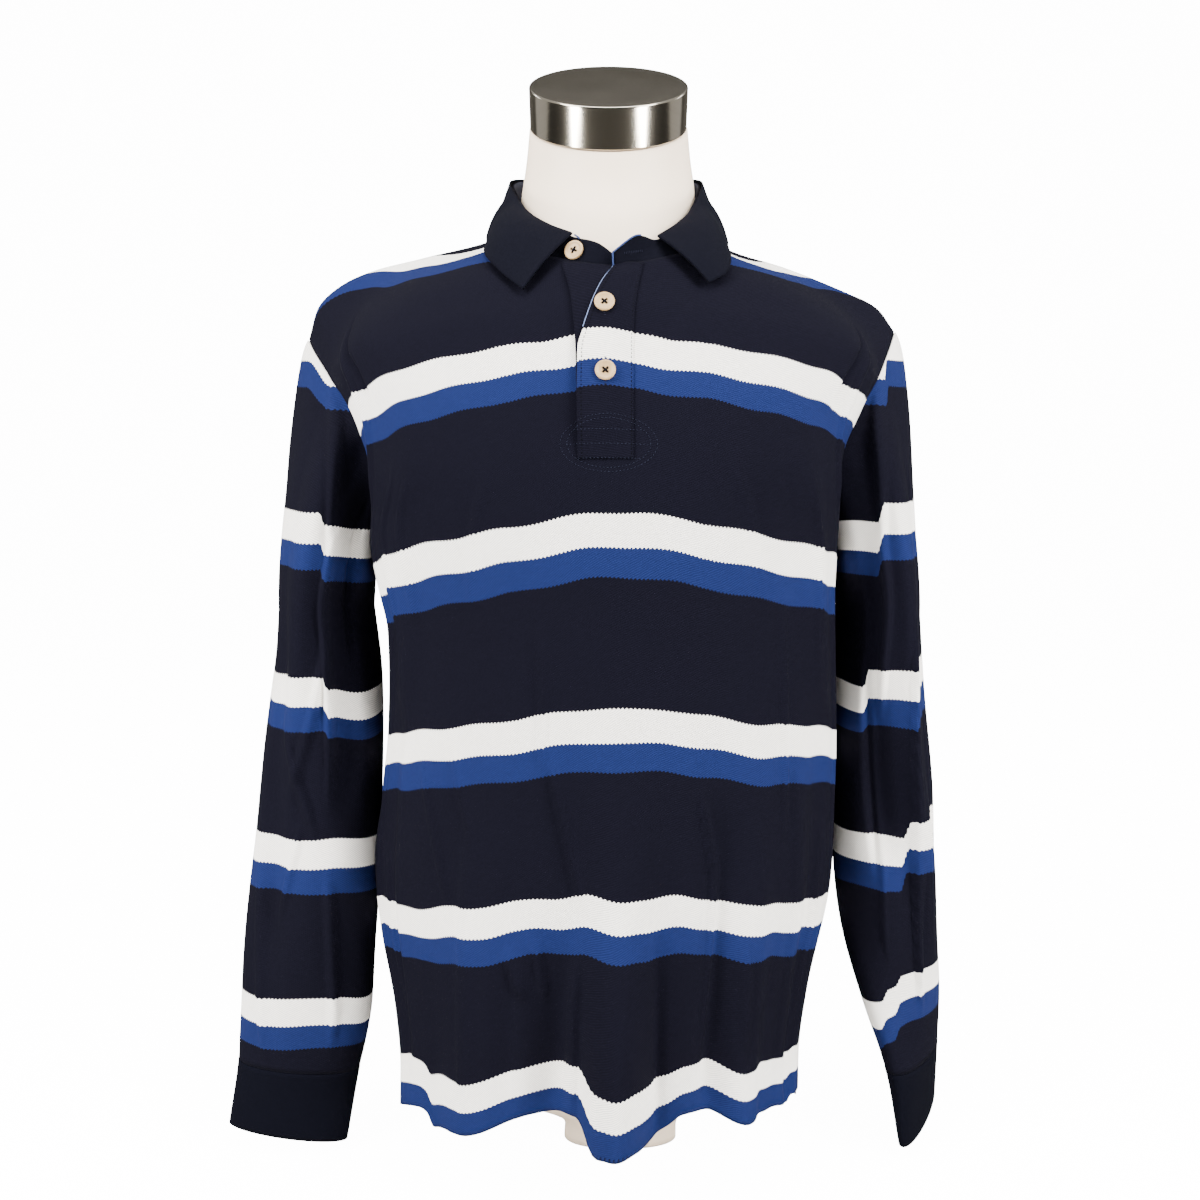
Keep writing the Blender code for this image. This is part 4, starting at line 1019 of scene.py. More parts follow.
def make_stripe_group():
    """White and blue bands by height of cloth, with knitted, slightly toothed edges."""
    group, source, drain = new_group(
        "knitted stripes",
        (
            ("Cloth", "NodeSocketVector", None),
            ("Repeat", "NodeSocketFloat", STRIPE_REPEAT),
            ("Blue Top", "NodeSocketFloat", BLUE_TOP),
            ("White Top", "NodeSocketFloat", WHITE_TOP),
            ("Tooth Pitch", "NodeSocketFloat", TOOTH_PITCH),
            ("Tooth Depth", "NodeSocketFloat", TOOTH_DEPTH),
        ),
        (("White", "NodeSocketFloat"), ("Blue", "NodeSocketFloat")),
    )
    parts = add_node(group, "ShaderNodeSeparateXYZ", {0: source["Cloth"]})
    across = arithmetic(group, "MULTIPLY", parts.outputs[0], math.tau)
    turns = arithmetic(group, "DIVIDE", across, source["Tooth Pitch"])
    tooth = arithmetic(group, "MULTIPLY", arithmetic(group, "SINE", turns), source["Tooth Depth"])
    height = arithmetic(group, "ADD", parts.outputs[1], tooth)
    place = arithmetic(group, "FLOORED_MODULO", height, source["Repeat"])
    soft = STRIPE_SOFTNESS
    over_blue = spread(
        group, arithmetic(group, "SUBTRACT", place, source["Blue Top"]), -soft, soft
    )
    over_white = spread(
        group, arithmetic(group, "SUBTRACT", place, source["White Top"]), -soft, soft
    )
    under_end = spread(
        group, arithmetic(group, "SUBTRACT", source["Repeat"], place), 0.0, soft
    )
    blue = arithmetic(group, "MULTIPLY", arithmetic(group, "SUBTRACT", 1.0, over_blue), under_end)
    white = arithmetic(group, "MULTIPLY", over_blue, arithmetic(group, "SUBTRACT", 1.0, over_white))
    group.links.new(white, drain["White"])
    group.links.new(blue, drain["Blue"])
    return group


def make_twill_group():
    """Fine slanted ribs of a twill face, with the threads across them, and a groove mask for
    painted shade.
    """
    group, source, drain = new_group(
        "twill face",
        (
            ("Cloth", "NodeSocketVector", None),
            ("Rib Pitch", "NodeSocketFloat", RIB_PITCH),
            ("Rib Slant", "NodeSocketFloat", RIB_SLANT),
            ("Thread Pitch", "NodeSocketFloat", 0.0009),
        ),
        (("Height", "NodeSocketFloat"), ("Groove Shade", "NodeSocketFloat")),
    )
    wobble = add_node(
        group, "ShaderNodeTexNoise", {"Vector": source["Cloth"], "Scale": 160.0, "Detail": 2.0}
    )
    parts = add_node(group, "ShaderNodeSeparateXYZ", {0: source["Cloth"]})
    slanted = arithmetic(
        group, "MULTIPLY_ADD", parts.outputs[0], source["Rib Slant"], parts.outputs[1]
    )
    phase = arithmetic(group, "DIVIDE", slanted, source["Rib Pitch"])
    shaken = arithmetic(group, "MULTIPLY_ADD", wobble.outputs[0], 0.9, phase)
    rib = arithmetic(group, "SINE", arithmetic(group, "MULTIPLY", shaken, math.tau))
    rib_height = arithmetic(group, "MULTIPLY_ADD", rib, 0.5, 0.5)
    across = arithmetic(group, "DIVIDE", parts.outputs[0], source["Thread Pitch"])
    thread = arithmetic(group, "SINE", arithmetic(group, "MULTIPLY", across, math.tau))
    thread_height = arithmetic(group, "MULTIPLY_ADD", thread, 0.15, rib_height)
    group.links.new(thread_height, drain["Height"])
    group.links.new(arithmetic(group, "SUBTRACT", 1.0, rib_height), drain["Groove Shade"])
    return group


def make_mottle_group():
    """Slow and fine unevenness of colour, around one."""
    group, source, drain = new_group(
        "mottle",
        (
            ("Place", "NodeSocketVector", None),
            ("Slow Scale", "NodeSocketFloat", 9.0),
            ("Fine Scale", "NodeSocketFloat", 420.0),
            ("Slow Amount", "NodeSocketFloat", 0.12),
            ("Fine Amount", "NodeSocketFloat", 0.25),
        ),
        (("Factor", "NodeSocketFloat"), ("Fine", "NodeSocketFloat")),
    )
    slow = add_node(
        group, "ShaderNodeTexNoise",
        {"Vector": source["Place"], "Scale": source["Slow Scale"], "Detail": 3.0},
    )
    fine = add_node(
        group, "ShaderNodeTexNoise",
        {"Vector": source["Place"], "Scale": source["Fine Scale"], "Detail": 2.0},
    )
    amounts = []
    for noise, label in ((slow, "Slow Amount"), (fine, "Fine Amount")):
        centred = arithmetic(group, "SUBTRACT", noise.outputs[0], 0.5)
        amounts.append(arithmetic(group, "MULTIPLY", centred, source[label]))
    both = arithmetic(group, "ADD", arithmetic(group, "ADD", *amounts), 1.0)
    group.links.new(both, drain["Factor"])
    group.links.new(fine.outputs[0], drain["Fine"])
    return group


STRIPES = make_stripe_group()
TWILL = make_twill_group()
MOTTLE = make_mottle_group()


def new_look(name, roughness, **settings):
    """Material with its Principled shader, and constant sockets set on it."""
    look = bpy.data.materials.new(name)
    look.use_nodes = True
    shader = look.node_tree.nodes["Principled BSDF"]
    shader.inputs["Roughness"].default_value = roughness
    for label, value in settings.items():
        shader.inputs[label.replace("_", " ")].default_value = value
    return look, look.node_tree, shader


def place_group(tree, group, **inputs):
    """Node group placed in a material with its own values."""
    node = tree.nodes.new("ShaderNodeGroup")
    node.node_tree = group
    for label, value in inputs.items():
        socket = node.inputs[label.replace("_", " ")]
        if isinstance(value, bpy.types.NodeSocket):
            tree.links.new(value, socket)
        else:
            socket.default_value = value
    return node.outputs


def cloth_look(name, ground, striped, rib_pitch=RIB_PITCH, slant=RIB_SLANT, groove_shade=0.42):
    """Twill cloth of one ground colour, with or without the knitted stripes, with painted shade in
    its grooves.
    """
    look, tree, shader = new_look(
        name, 0.88, Specular_IOR_Level=0.03, Sheen_Weight=0.004, Sheen_Roughness=0.5
    )
    cloth = add_node(tree, "ShaderNodeUVMap", uv_map="cloth").outputs[0]
    spot = add_node(tree, "ShaderNodeTexCoord").outputs["Object"]
    twill = place_group(tree, TWILL, Cloth=cloth, Rib_Pitch=rib_pitch, Rib_Slant=slant)
    mottle = place_group(tree, MOTTLE, Place=spot)
    if striped:
        bands = place_group(tree, STRIPES, Cloth=cloth)
        colour = blend_colour(tree, bands["White"], ground, WHITE)
        colour = blend_colour(tree, bands["Blue"], colour, BLUE)
    else:
        colour = blend_colour(tree, 1.0, (1.0, 1.0, 1.0), ground)
    # Painted shade: the base colour is darker in the twill's grooves and lighter on its ribs
    shade = arithmetic(tree, "MULTIPLY_ADD", twill["Groove Shade"], -groove_shade, 1.0 + groove_shade / 2)
    shade = arithmetic(tree, "MULTIPLY", shade, mottle["Factor"])
    grey = add_node(tree, "ShaderNodeCombineColor", {0: shade, 1: shade, 2: shade}).outputs[0]
    toned = blend_colour(tree, 1.0, colour, grey, "MULTIPLY")
    tree.links.new(toned, shader.inputs["Base Color"])
    bump = add_node(
        tree, "ShaderNodeBump",
        {"Height": twill["Height"], "Strength": TWILL_BUMP, "Distance": BUMP_DEPTH},
    )
    tree.links.new(bump.outputs[0], shader.inputs["Normal"])
    return look


def plain_look(
    name, colour, roughness, fine_scale=420.0, fine_amount=0.2, slow_amount=0.1, bump=0.0,
    **settings,
):
    """One colour with slow and fine unevenness."""
    look, tree, shader = new_look(name, roughness, **settings)
    spot = add_node(tree, "ShaderNodeTexCoord").outputs["Object"]
    mottle = place_group(
        tree, MOTTLE, Place=spot, Fine_Scale=fine_scale, Fine_Amount=fine_amount,
        Slow_Amount=slow_amount,
    )
    shade = mottle["Factor"]
    grey = add_node(tree, "ShaderNodeCombineColor", {0: shade, 1: shade, 2: shade}).outputs[0]
    tree.links.new(blend_colour(tree, 1.0, colour, grey, "MULTIPLY"), shader.inputs["Base Color"])
    if bump:
        raised = add_node(
            tree, "ShaderNodeBump",
            {"Height": mottle["Fine"], "Strength": bump, "Distance": BUMP_DEPTH},
        )
        tree.links.new(raised.outputs[0], shader.inputs["Normal"])
    return look


def steel_look():
    """Steel with fine brushing round the rim; its grey is tinted warm as a painted reflection of a
    warm ceiling.
    """
    look, tree, shader = new_look("brushed steel", 0.22, Metallic=1.0)
    spot = add_node(tree, "ShaderNodeTexCoord").outputs["Object"]
    level = add_node(
        tree, "ShaderNodeMapping",
        {"Vector": spot, "Rotation": (-CAP_TILT, 0.0, 0.0), "Scale": (3.0, 3.0, 900.0)},
        vector_type="POINT",
    ).outputs[0]
    lines = add_node(tree, "ShaderNodeTexNoise", {"Vector": level, "Scale": 1.0, "Detail": 3.0})
    cloud = add_node(tree, "ShaderNodeTexNoise", {"Vector": spot, "Scale": 30.0, "Detail": 3.0})
    shade = arithmetic(tree, "MULTIPLY_ADD", lines.outputs[0], 0.16, 0.92)
    grey = add_node(tree, "ShaderNodeCombineColor", {0: shade, 1: shade, 2: shade}).outputs[0]
    # Base colour: steel grey with painted warmth from a reflected warm ceiling
    tree.links.new(blend_colour(tree, 1.0, STEEL_PAINTED_WARM, grey, "MULTIPLY"), shader.inputs["Base Color"])
    rough = arithmetic(tree, "MULTIPLY_ADD", cloud.outputs[0], 0.05, 0.12)
    tree.links.new(rough, shader.inputs["Roughness"])
    bump = add_node(
        tree, "ShaderNodeBump", {"Height": lines.outputs[0], "Strength": 0.10, "Distance": 0.0003}
    )
    tree.links.new(bump.outputs[0], shader.inputs["Normal"])
    return look


striped_cloth = cloth_look("striped twill", NAVY, True)
leaf_cloth = cloth_look("collar twill", NAVY_LEAF, False, rib_pitch=0.0012, groove_shade=0.10)
cuff_cloth = cloth_look("cuff knit", NAVY_CUFF, False, slant=4.0, groove_shade=0.12)
placket_cloth = cloth_look("placket twill", NAVY, True, slant=0.2)
lining = plain_look("light blue lining", LINING, 0.9, bump=0.2)
piping = plain_look("light blue piping", PIPING, 0.85, bump=0.2)
blue_edge = plain_look("blue edge", EDGE_BLUE, 0.85, bump=0.2)
navy_thread, dark_thread = (
    plain_look(name, colour, 0.8, fine_scale=900.0, bump=0.3, Specular_IOR_Level=0.05)
    for name, colour in (("navy thread", THREAD), ("dark thread", DARK_THREAD))
)
horn = plain_look("cream horn", CREAM, 0.38, fine_scale=260.0, fine_amount=0.22, bump=0.04)
shell = plain_look(
    "form shell", SHELL, 0.48, fine_scale=90.0, fine_amount=0.03, slow_amount=0.04, bump=0.02
)
steel = steel_look()


def stripe_sag(u, v):
    """How far the stripes of the front hang below their even height."""
    i = min(bisect_right(SAG_HEIGHTS, v), len(SAG_HEIGHTS) - 1)
    if i == 0:
        return SAG_CURVES.at(1, u)
    share = (v - SAG_HEIGHTS[i - 1]) / (SAG_HEIGHTS[i] - SAG_HEIGHTS[i - 1])
    below = SAG_CURVES.at(i, u)
    return below + (SAG_CURVES.at(i + 1, u) - below) * min(share, 1.0)


def panel_cloth(is_front):
    """UV map of a panel: metres round the body and height of cloth."""

    def cloth(across, along):
        u = 2 * across - 1
        top = panel_top(u, is_front)[0] - TOP_GAP
        v = top * along
        if is_front:
            sag = stripe_sag(u, v)
        else:
            sag = stripe_sag(math.copysign(1.0, u), v) * ease(0.6, 1.0, abs(u))
        sag += RIPPLE * math.sin(29 * u + 31 * v) * ease(0.0, 0.06, v)
        return u * HALF_CHEST, max(v + sag, LEAST_HEIGHT)

    return cloth


def panel_place(is_front, slit_u, columns):
    """Place of a grid point on a panel; the two middle columns close in on the slit."""
    facing = -1 if is_front else 1
    edge_u = 1 - SEAM_GAP / 0.2

    def place(across, along):
        u = (2 * across - 1) * edge_u
        if is_front and abs(u) < 1.5 / columns:
            u = math.copysign(slit_u, u)
        top = panel_top(u, is_front)[0] - TOP_GAP
        point = panel_point(u, top * along, is_front)
        if abs(u) > 0.98:
            point.y += facing * SEAM_GAP
        return point

    return place


def make_panels():
    slit_u = 0.0015 / 0.19 / (math.pi / 2)
    columns = FRONT_CELLS[0]

    def in_slit(centre):
        above_foot = centre.y * FRONT_NECK_ROWS[0][1] > SLIT_FOOT_V
        return abs(centre.x - 0.5) < 0.4 / columns and above_foot

    cloth_piece(
        "front", FRONT_CELLS, panel_place(True, slit_u, columns), panel_cloth(True),
        (striped_cloth,), missing=in_slit,
    )

    def back_place(across, along):
        return panel_place(False, slit_u, columns)(1 - across, along)

    def back_cloth(across, along):
        return panel_cloth(False)(1 - across, along)

    cloth_piece(
        "back", BACK_CELLS, back_place, back_cloth, (striped_cloth,),
    )


def sleeve_height(point, angle, side):
    """Height of cloth on a sleeve, for the stripes, with its steps at the pleats."""
    z = point.z
    height = SLEEVE_CLOTH_CURVES.at(1, z)
    for out, half, inside, outside, low, high in SLEEVE_STEPS[side]:
        past = ease(out - half, out + half, abs(point.x))
        change = inside * (1 - past) + outside * past
        height += change * ease(low, low + 0.05, z) * (1 - ease(high - 0.03, high, z))
    return height + RIPPLE * math.sin(4 * angle + 30 * z)


def make_sleeves():
    for name, cuff_name, side in (
        ("sleeve_right", "cuff_right", -1), ("sleeve_left", "cuff_left", 1),
    ):
        def sleeve_place(across, along, side=side):
            return sleeve_point(side * math.tau * across, 1 - along, side)

        def sleeve_cloth(across, along, side=side):
            angle = (side * math.tau * across) % math.tau
            point = sleeve_base(angle, 1 - along, side)
            return across * math.tau * SLEEVE_GIRTH_RADIUS, sleeve_height(point, angle, side)

        cloth_piece(
            name, SLEEVE_CELLS, sleeve_place, sleeve_cloth, (striped_cloth,),
            ring=True,
        )

        def cuff_place(across, along, side=side):
            return cuff_point((side * math.tau * across) % math.tau, 1 - along, side)

        def cuff_cloth_map(across, along):
            return across * math.tau * SLEEVE_GIRTH_RADIUS, along * (CUFF_TOP_Z - CUFF_FOOT_Z)

        cloth_piece(
            cuff_name, CUFF_CELLS, cuff_place, cuff_cloth_map, (cuff_cloth,),
            thickness=RIB_CLOTH, ring=True,
        )


def make_collar():
    def stand_place(across, along):
        return stand_point((2 * across - 1) * STAND_END_PLACE, along)

    cloth_piece(
        "collar_stand", STAND_CELLS, stand_place,
        lambda a, b: (a * STAND_CLOTH[0], b * STAND_CLOTH[1]),
        (leaf_cloth, lining), turned=True,
    )

    def leaf_place(across, along):
        return collar_point(2 * across - 1, 1 - along)

    cloth_piece(
        "collar", COLLAR_CELLS, leaf_place,
        lambda a, b: (a * COLLAR_CLOTH[0], b * COLLAR_CLOTH[1]),
        (leaf_cloth,),
    )


def pressed(v):
    """Share of its lift that a placket keeps under the stand."""
    return 1 - PRESS * ease(PRESS_V, PLACKET_HEAD_V, v)


def upper_lift(v, across=0.0):
    """How far the upper placket lies off the front; its foot and its far edge are sewn down."""
    loose = ease(UPPER_FOOT_V - 0.004, UPPER_LOOSE_V, v) * (1 - ease(0.50, 1.0, across))
    loose *= pressed(v)
    return FOOT_LIFT + (UPPER_LIFT - FOOT_LIFT) * loose


def under_lift(v, across=0.0):
    """How far the under placket lies off the front, never past the upper one."""
    return UNDER_LIFT * min(1.0, 1.15 - 0.5 * across) * pressed(v)


def make_plackets():
    head = PLACKET_HEAD_V
    for name, foot, columns, lift in (
        ("placket_under", UNDER_PLACKET_FOOT_V, (3, 4), under_lift),
        ("placket_upper", UPPER_FOOT_V, (1, 2), upper_lift),
    ):
        def strip(across, along, foot=foot, columns=columns):
            v = foot + (head - foot) * along
            left = PLACKET_CURVES.at(columns[0], v)
            right = PLACKET_CURVES.at(columns[1], v)
            return left + (right - left) * across, v

        def place(across, along, strip=strip, lift=lift):
            x, v = strip(across, along)
            return panel_point(front_u(x, v), v, True, lift(v, across))

        def placket_cloth_map(across, along, strip=strip, foot=foot):
            x, v = strip(across, along)
            # Navy alone on the under placket: also painted shade in the gap beside the upper
            # placket
            if foot == UNDER_PLACKET_FOOT_V:
                return x, UNDER_STRIPES_AS_SHADE[0] + (v - foot) * UNDER_STRIPES_AS_SHADE[1]
            return x, v + stripe_sag(front_u(x, v), v)

        cloth_piece(
            name, PLACKET_CELLS, place, placket_cloth_map, (placket_cloth,),
        )


def stitch_piece(name, runs, look, length=0.0019, gap=0.0009, radius=0.00028):
    """Rows of small stitches along runs of (point, outward direction)."""
    shape = bmesh.new()
    for run in runs:
        travelled = 0.0
        due = 0.0
        for (start, start_out), (end, end_out) in zip(run, run[1:]):
            step = end - start
            size = step.length
            while size > 0 and due <= travelled + size:
                share = (due - travelled) / size
                out = start_out.lerp(end_out, share).normalized()
                along = step.normalized()
                side = out.cross(along).normalized()
                turn = Matrix((along * (length / 2), side * radius, out * radius)).transposed()
                spot = Matrix.Translation(start + step * share + out * (radius * 0.4))
                bmesh.ops.create_icosphere(
                    shape, subdivisions=1, radius=1.0, matrix=spot @ turn.to_4x4()
                )
                due += length + gap
            travelled += size
    return new_piece(name, shape, (look,))


def tube_piece(name, points, radius, look, sides=2):
    """Thin round cord through points, as a mesh."""
    curve = bpy.data.curves.new(name, "CURVE")
    curve.dimensions = "3D"
    curve.bevel_depth = radius
    curve.bevel_resolution = sides
    curve.use_fill_caps = True
    line = curve.splines.new("POLY")
    line.points.add(len(points) - 1)
    for spot, point in zip(line.points, points):
        spot.co = (*point, 1.0)
    holder = bpy.data.objects.new(name, curve)
    bpy.context.scene.collection.objects.link(holder)
    graph = bpy.context.evaluated_depsgraph_get()
    mesh = bpy.data.meshes.new_from_object(holder.evaluated_get(graph))
    bpy.data.objects.remove(holder)
    shape = bmesh.new()
    shape.from_mesh(mesh)
    return new_piece(name, shape, (look,))


def placket_line(column, inset, low, high, lift, count=60):
    """Run along an edge of the upper placket: X column of the table, moved in by inset."""
    run = []
    for i in range(count + 1):
        v = low + (high - low) * i / count
        u = front_u(PLACKET_CURVES.at(column, v) + inset, v)
        across = 1.0 if column == 2 else 0.0
        point = panel_point(u, v, True, upper_lift(v, across) + lift)
        run.append((point, panel_normal(u, v, True)))
    return run


def on_front(x, v, lift):
    """Point and direction on the front, over the upper placket where it lies."""
    left = PLACKET_CURVES.at(1, v)
    right = PLACKET_CURVES.at(2, v)
    over = ease(left - 0.0012, left, x) * (1 - ease(right, right + 0.0012, x))
    over *= ease(UPPER_FOOT_V - 0.0008, UPPER_FOOT_V, v)
    u = front_u(x, v)
    normal = panel_normal(u, v, True)
    across = min(max((x - left) / (right - left), 0.0), 1.0)
    return panel_point(u, v, True) + normal * (lift + upper_lift(v, across) * over), normal


def make_stitches():
    skin = CLOTH / 2
    head = PLACKET_HEAD_V - 0.002
    stitch_piece(
        "placket_stitches",
        (
            placket_line(1, 0.0028, UPPER_FOOT_V + 0.001, head, skin),
            placket_line(2, -0.0014, UPPER_FOOT_V + 0.001, head, skin),
        ),
        dark_thread,
    )
    runs = []
    for scale in (1.0, OVAL_INNER):
        run = []
        for i in range(OVAL_STEPS + 1):
            angle = math.tau * i / OVAL_STEPS
            run.append(on_front(
                OVAL_X + OVAL_HALF_WIDTH * scale * math.cos(angle),
                OVAL_V + OVAL_HALF_HEIGHT * scale * math.sin(angle),
                skin,
            ))
        runs.append(run)
    for height in OVAL_BARS:
        rise = height / (OVAL_HALF_HEIGHT * OVAL_INNER)
        reach = OVAL_HALF_WIDTH * OVAL_INNER * math.sqrt(1 - rise**2)
        runs.append([
            on_front(OVAL_X - reach + 2 * reach * i / BAR_STEPS, OVAL_V + height, skin)
            for i in range(BAR_STEPS + 1)
        ])
    stitch_piece("oval_stitches", runs, navy_thread, length=0.0016, gap=0.0009)


def make_piping():
    """Light blue edges of the upper placket and of both collar ends."""
    edge = placket_line(1, -0.0003, PIPING_FOOT_V, PLACKET_HEAD_V, -0.0004)
    tube_piece("placket_piping", [point for point, _ in edge], PIPING_RADIUS, piping)
    end = [stand_point(STAND_END_PLACE, i / 8) for i in range(9)]
    top = [stand_point(STAND_END_PLACE - 0.02 * i, 1.0) for i in range(1, 9)]
    forward = Vector((-0.0004, -0.0010, 0.0002))
    stand_line = [point + forward for point in end + top]
    tube_piece("stand_piping", stand_line, PIPING_RADIUS, blue_edge)
    start = collar_point(-1.0, 0.0) + Vector((0.0015, -0.0010, -0.0012))
    tube_piece(
        "collar_end_piping", [start, start + Vector((0.0035, -0.0012, -0.0026))],
        PIPING_RADIUS, blue_edge,
    )


def buttonhole(centre, along, normal, length, rows=11):
    """Short stitches across a slit, on both sides of it."""
    side = normal.cross(along).normalized()
    runs = []
    for i in range(rows):
        spot = centre + along * (length * (i / (rows - 1) - 0.5))
        for way in (-1, 1):
            ends = (spot + side * (reach * way) for reach in (0.0003, 0.0016))
            runs.append([(end, normal) for end in ends])
    return runs


def stand_face(place):
    """Step round the stand at a place, and the direction that faces forward there."""
    along = stand_point(place - 0.05, 0.5) - stand_point(place + 0.05, 0.5)
    up = stand_point(place, 1.0) - stand_point(place, 0.0)
    face = along.cross(up).normalized()
    return along, -face if face.y > 0 else face


def make_buttonholes():
    runs = []
    skin = CLOTH / 2
    for _, x, v in PLACKET_BUTTONS:
        low = panel_point(front_u(x, v - 0.008), v - 0.008, True, UPPER_LIFT + skin)
        high = panel_point(front_u(x, v + 0.008), v + 0.008, True, UPPER_LIFT + skin)
        runs += buttonhole(
            (low + high) / 2, (high - low).normalized(), panel_normal(0.0, v, True), HOLE_LENGTH
        )
    along, face = stand_face(STAND_HOLE_PLACE)
    centre = stand_point(STAND_HOLE_PLACE, 0.45) + face * skin
    runs += buttonhole(centre, along.normalized(), face, STAND_HOLE_LENGTH)
    stitch_piece("buttonholes", runs, navy_thread, length=0.0012, gap=0.0030)


def make_button(name, centre, normal):
    """Dished button with a raised rim, four holes and crossed thread."""
    shape = bmesh.new()
    points = [shape.verts.new((radius, 0.0, height)) for radius, height in BUTTON_PROFILE]
    for first, second in zip(points, points[1:]):
        shape.edges.new((first, second))
    bmesh.ops.spin(
        shape, geom=shape.verts[:] + shape.edges[:], cent=(0, 0, 0), axis=(0, 0, 1),
        angle=math.tau, steps=BUTTON_STEPS, use_merge=True,
    )
    bmesh.ops.remove_doubles(shape, verts=shape.verts, dist=1e-6)
    bmesh.ops.recalc_face_normals(shape, faces=shape.faces)
    facing = Vector((0, 0, 1)).rotation_difference(normal).to_matrix().to_4x4()
    place = Matrix.Translation(centre) @ facing
    piece = new_piece(name, shape, (horn,), (name,))
    holes = bmesh.new()
    for x, y in ((1, 1), (1, -1), (-1, 1), (-1, -1)):
        bmesh.ops.create_cone(
            holes, cap_ends=True, segments=20, radius1=HOLE_RADIUS, radius2=HOLE_RADIUS,
            depth=BUTTON_THICK * 2,
            matrix=Matrix.Translation((x * HOLE_PITCH, y * HOLE_PITCH, 0)),
        )
    hole_mesh = bpy.data.meshes.new(f"{name}_holes")
    holes.to_mesh(hole_mesh)
    holes.free()
    cutter = bpy.data.objects.new(f"{name}_holes", hole_mesh)
    bpy.context.scene.collection.objects.link(cutter)
    cut = piece.modifiers.new("holes", "BOOLEAN")
    cut.operation = "DIFFERENCE"
    cut.solver = "EXACT"
    cut.object = cutter
    graph = bpy.context.evaluated_depsgraph_get()
    pierced = bpy.data.meshes.new_from_object(piece.evaluated_get(graph))
    piece.modifiers.remove(cut)
    bpy.data.objects.remove(cutter)
    piece.data = pierced
    pierced.transform(place)
    thread = bmesh.new()
    for turn in (math.radians(45), math.radians(-45)):
        for offset in (-THREAD_APART, THREAD_APART):
            matrix = (
                place @ Matrix.Translation((0, 0, THREAD_RISE)) @ Matrix.Rotation(turn, 4, "Z")
                @ Matrix.Translation((0, offset, 0)) @ Matrix.Diagonal(THREAD_STRAND)
            )
            bmesh.ops.create_uvsphere(
                thread, u_segments=12, v_segments=8, radius=1.0, matrix=matrix
            )
    new_piece(f"{name}_thread", thread, (dark_thread,))


def make_buttons():
    lift = UPPER_LIFT + CLOTH / 2 + BUTTON_GAP + BUTTON_THICK / 2
    for name, x, v in PLACKET_BUTTONS:
        u = front_u(x, v)
        make_button(name, panel_point(u, v, True, lift), panel_normal(u, v, True))
    face = stand_face(STAND_BUTTON_PLACE)[1]
    lift = CLOTH / 2 + 2 * BUTTON_GAP + BUTTON_THICK / 2
    make_button("button_upper", stand_point(STAND_BUTTON_PLACE, 0.45) + face * lift, face)


def form_point(around, rise):
    """Point of the form's skin: around 0 to 1, rise 0 at the base and 1 at the neck's end."""
    z = FORM_CURVES.keys[-1] * rise
    half, front, back, neck, tilt, centre_x = (FORM_CURVES.at(column, z) for column in range(1, 7))
    angle = math.tau * around
    depth = front if math.cos(angle) > 0 else back
    power = FORM_POWER
    trunk = (abs(math.sin(angle)) / half) ** power + (abs(math.cos(angle)) / depth) ** power
    radius = (trunk ** (-FORM_JOINT / power) + neck**FORM_JOINT) ** (1 / FORM_JOINT)
    lean = FORM_NECK_Y * ease(0.70, 0.78, z)
    slope = FORM_SLOPE * ease(0.50, 0.66, z) * (1 - ease(0.66, 0.74, z))
    x = centre_x + radius * math.sin(angle)
    y = -radius * math.cos(angle) / math.sqrt(1 + tilt * tilt)
    return Vector((x, y + lean, z + tilt * y - slope * x))


def make_form():
    shape = bmesh.new()
    bmesh.ops.create_grid(shape, x_segments=FORM_SEGMENTS, y_segments=FORM_RINGS, size=0.5)
    for vert in shape.verts:
        vert.co = form_point(vert.co.x + 0.5, vert.co.y + 0.5)
    bmesh.ops.remove_doubles(shape, verts=shape.verts, dist=1e-6)
    rims = [edge for edge in shape.edges if edge.is_boundary]
    bmesh.ops.holes_fill(shape, edges=rims, sides=0)
    bmesh.ops.recalc_face_normals(shape, faces=shape.faces)
    new_piece("form_body", shape, (shell,), ("dress_form",))

    shape = bmesh.new()
    turn = Matrix.Rotation(CAP_TILT, 4, "X")
    down = turn @ Vector((0, 0, -CAP_HEIGHT / 2))
    bmesh.ops.create_cone(
        shape, cap_ends=True, segments=144, radius1=CAP_RADIUS, radius2=CAP_RADIUS,
        depth=CAP_HEIGHT,
    )
    rims = [edge for edge in shape.edges if any(len(face.verts) > 4 for face in edge.link_faces)]
    bmesh.ops.bevel(
        shape, geom=rims, offset=CAP_EDGE, segments=5, profile=0.5, affect="EDGES", material=-1,
    )
    place = Matrix.Translation(Vector(CAP_CENTRE) + down) @ turn
    bmesh.ops.transform(shape, matrix=place, verts=shape.verts)
    cap = new_piece("steel_cap", shape, (steel,), ("neck_cap",))
    keep_flat = cap.modifiers.new("edges", "WEIGHTED_NORMAL")
    keep_flat.keep_sharp = True


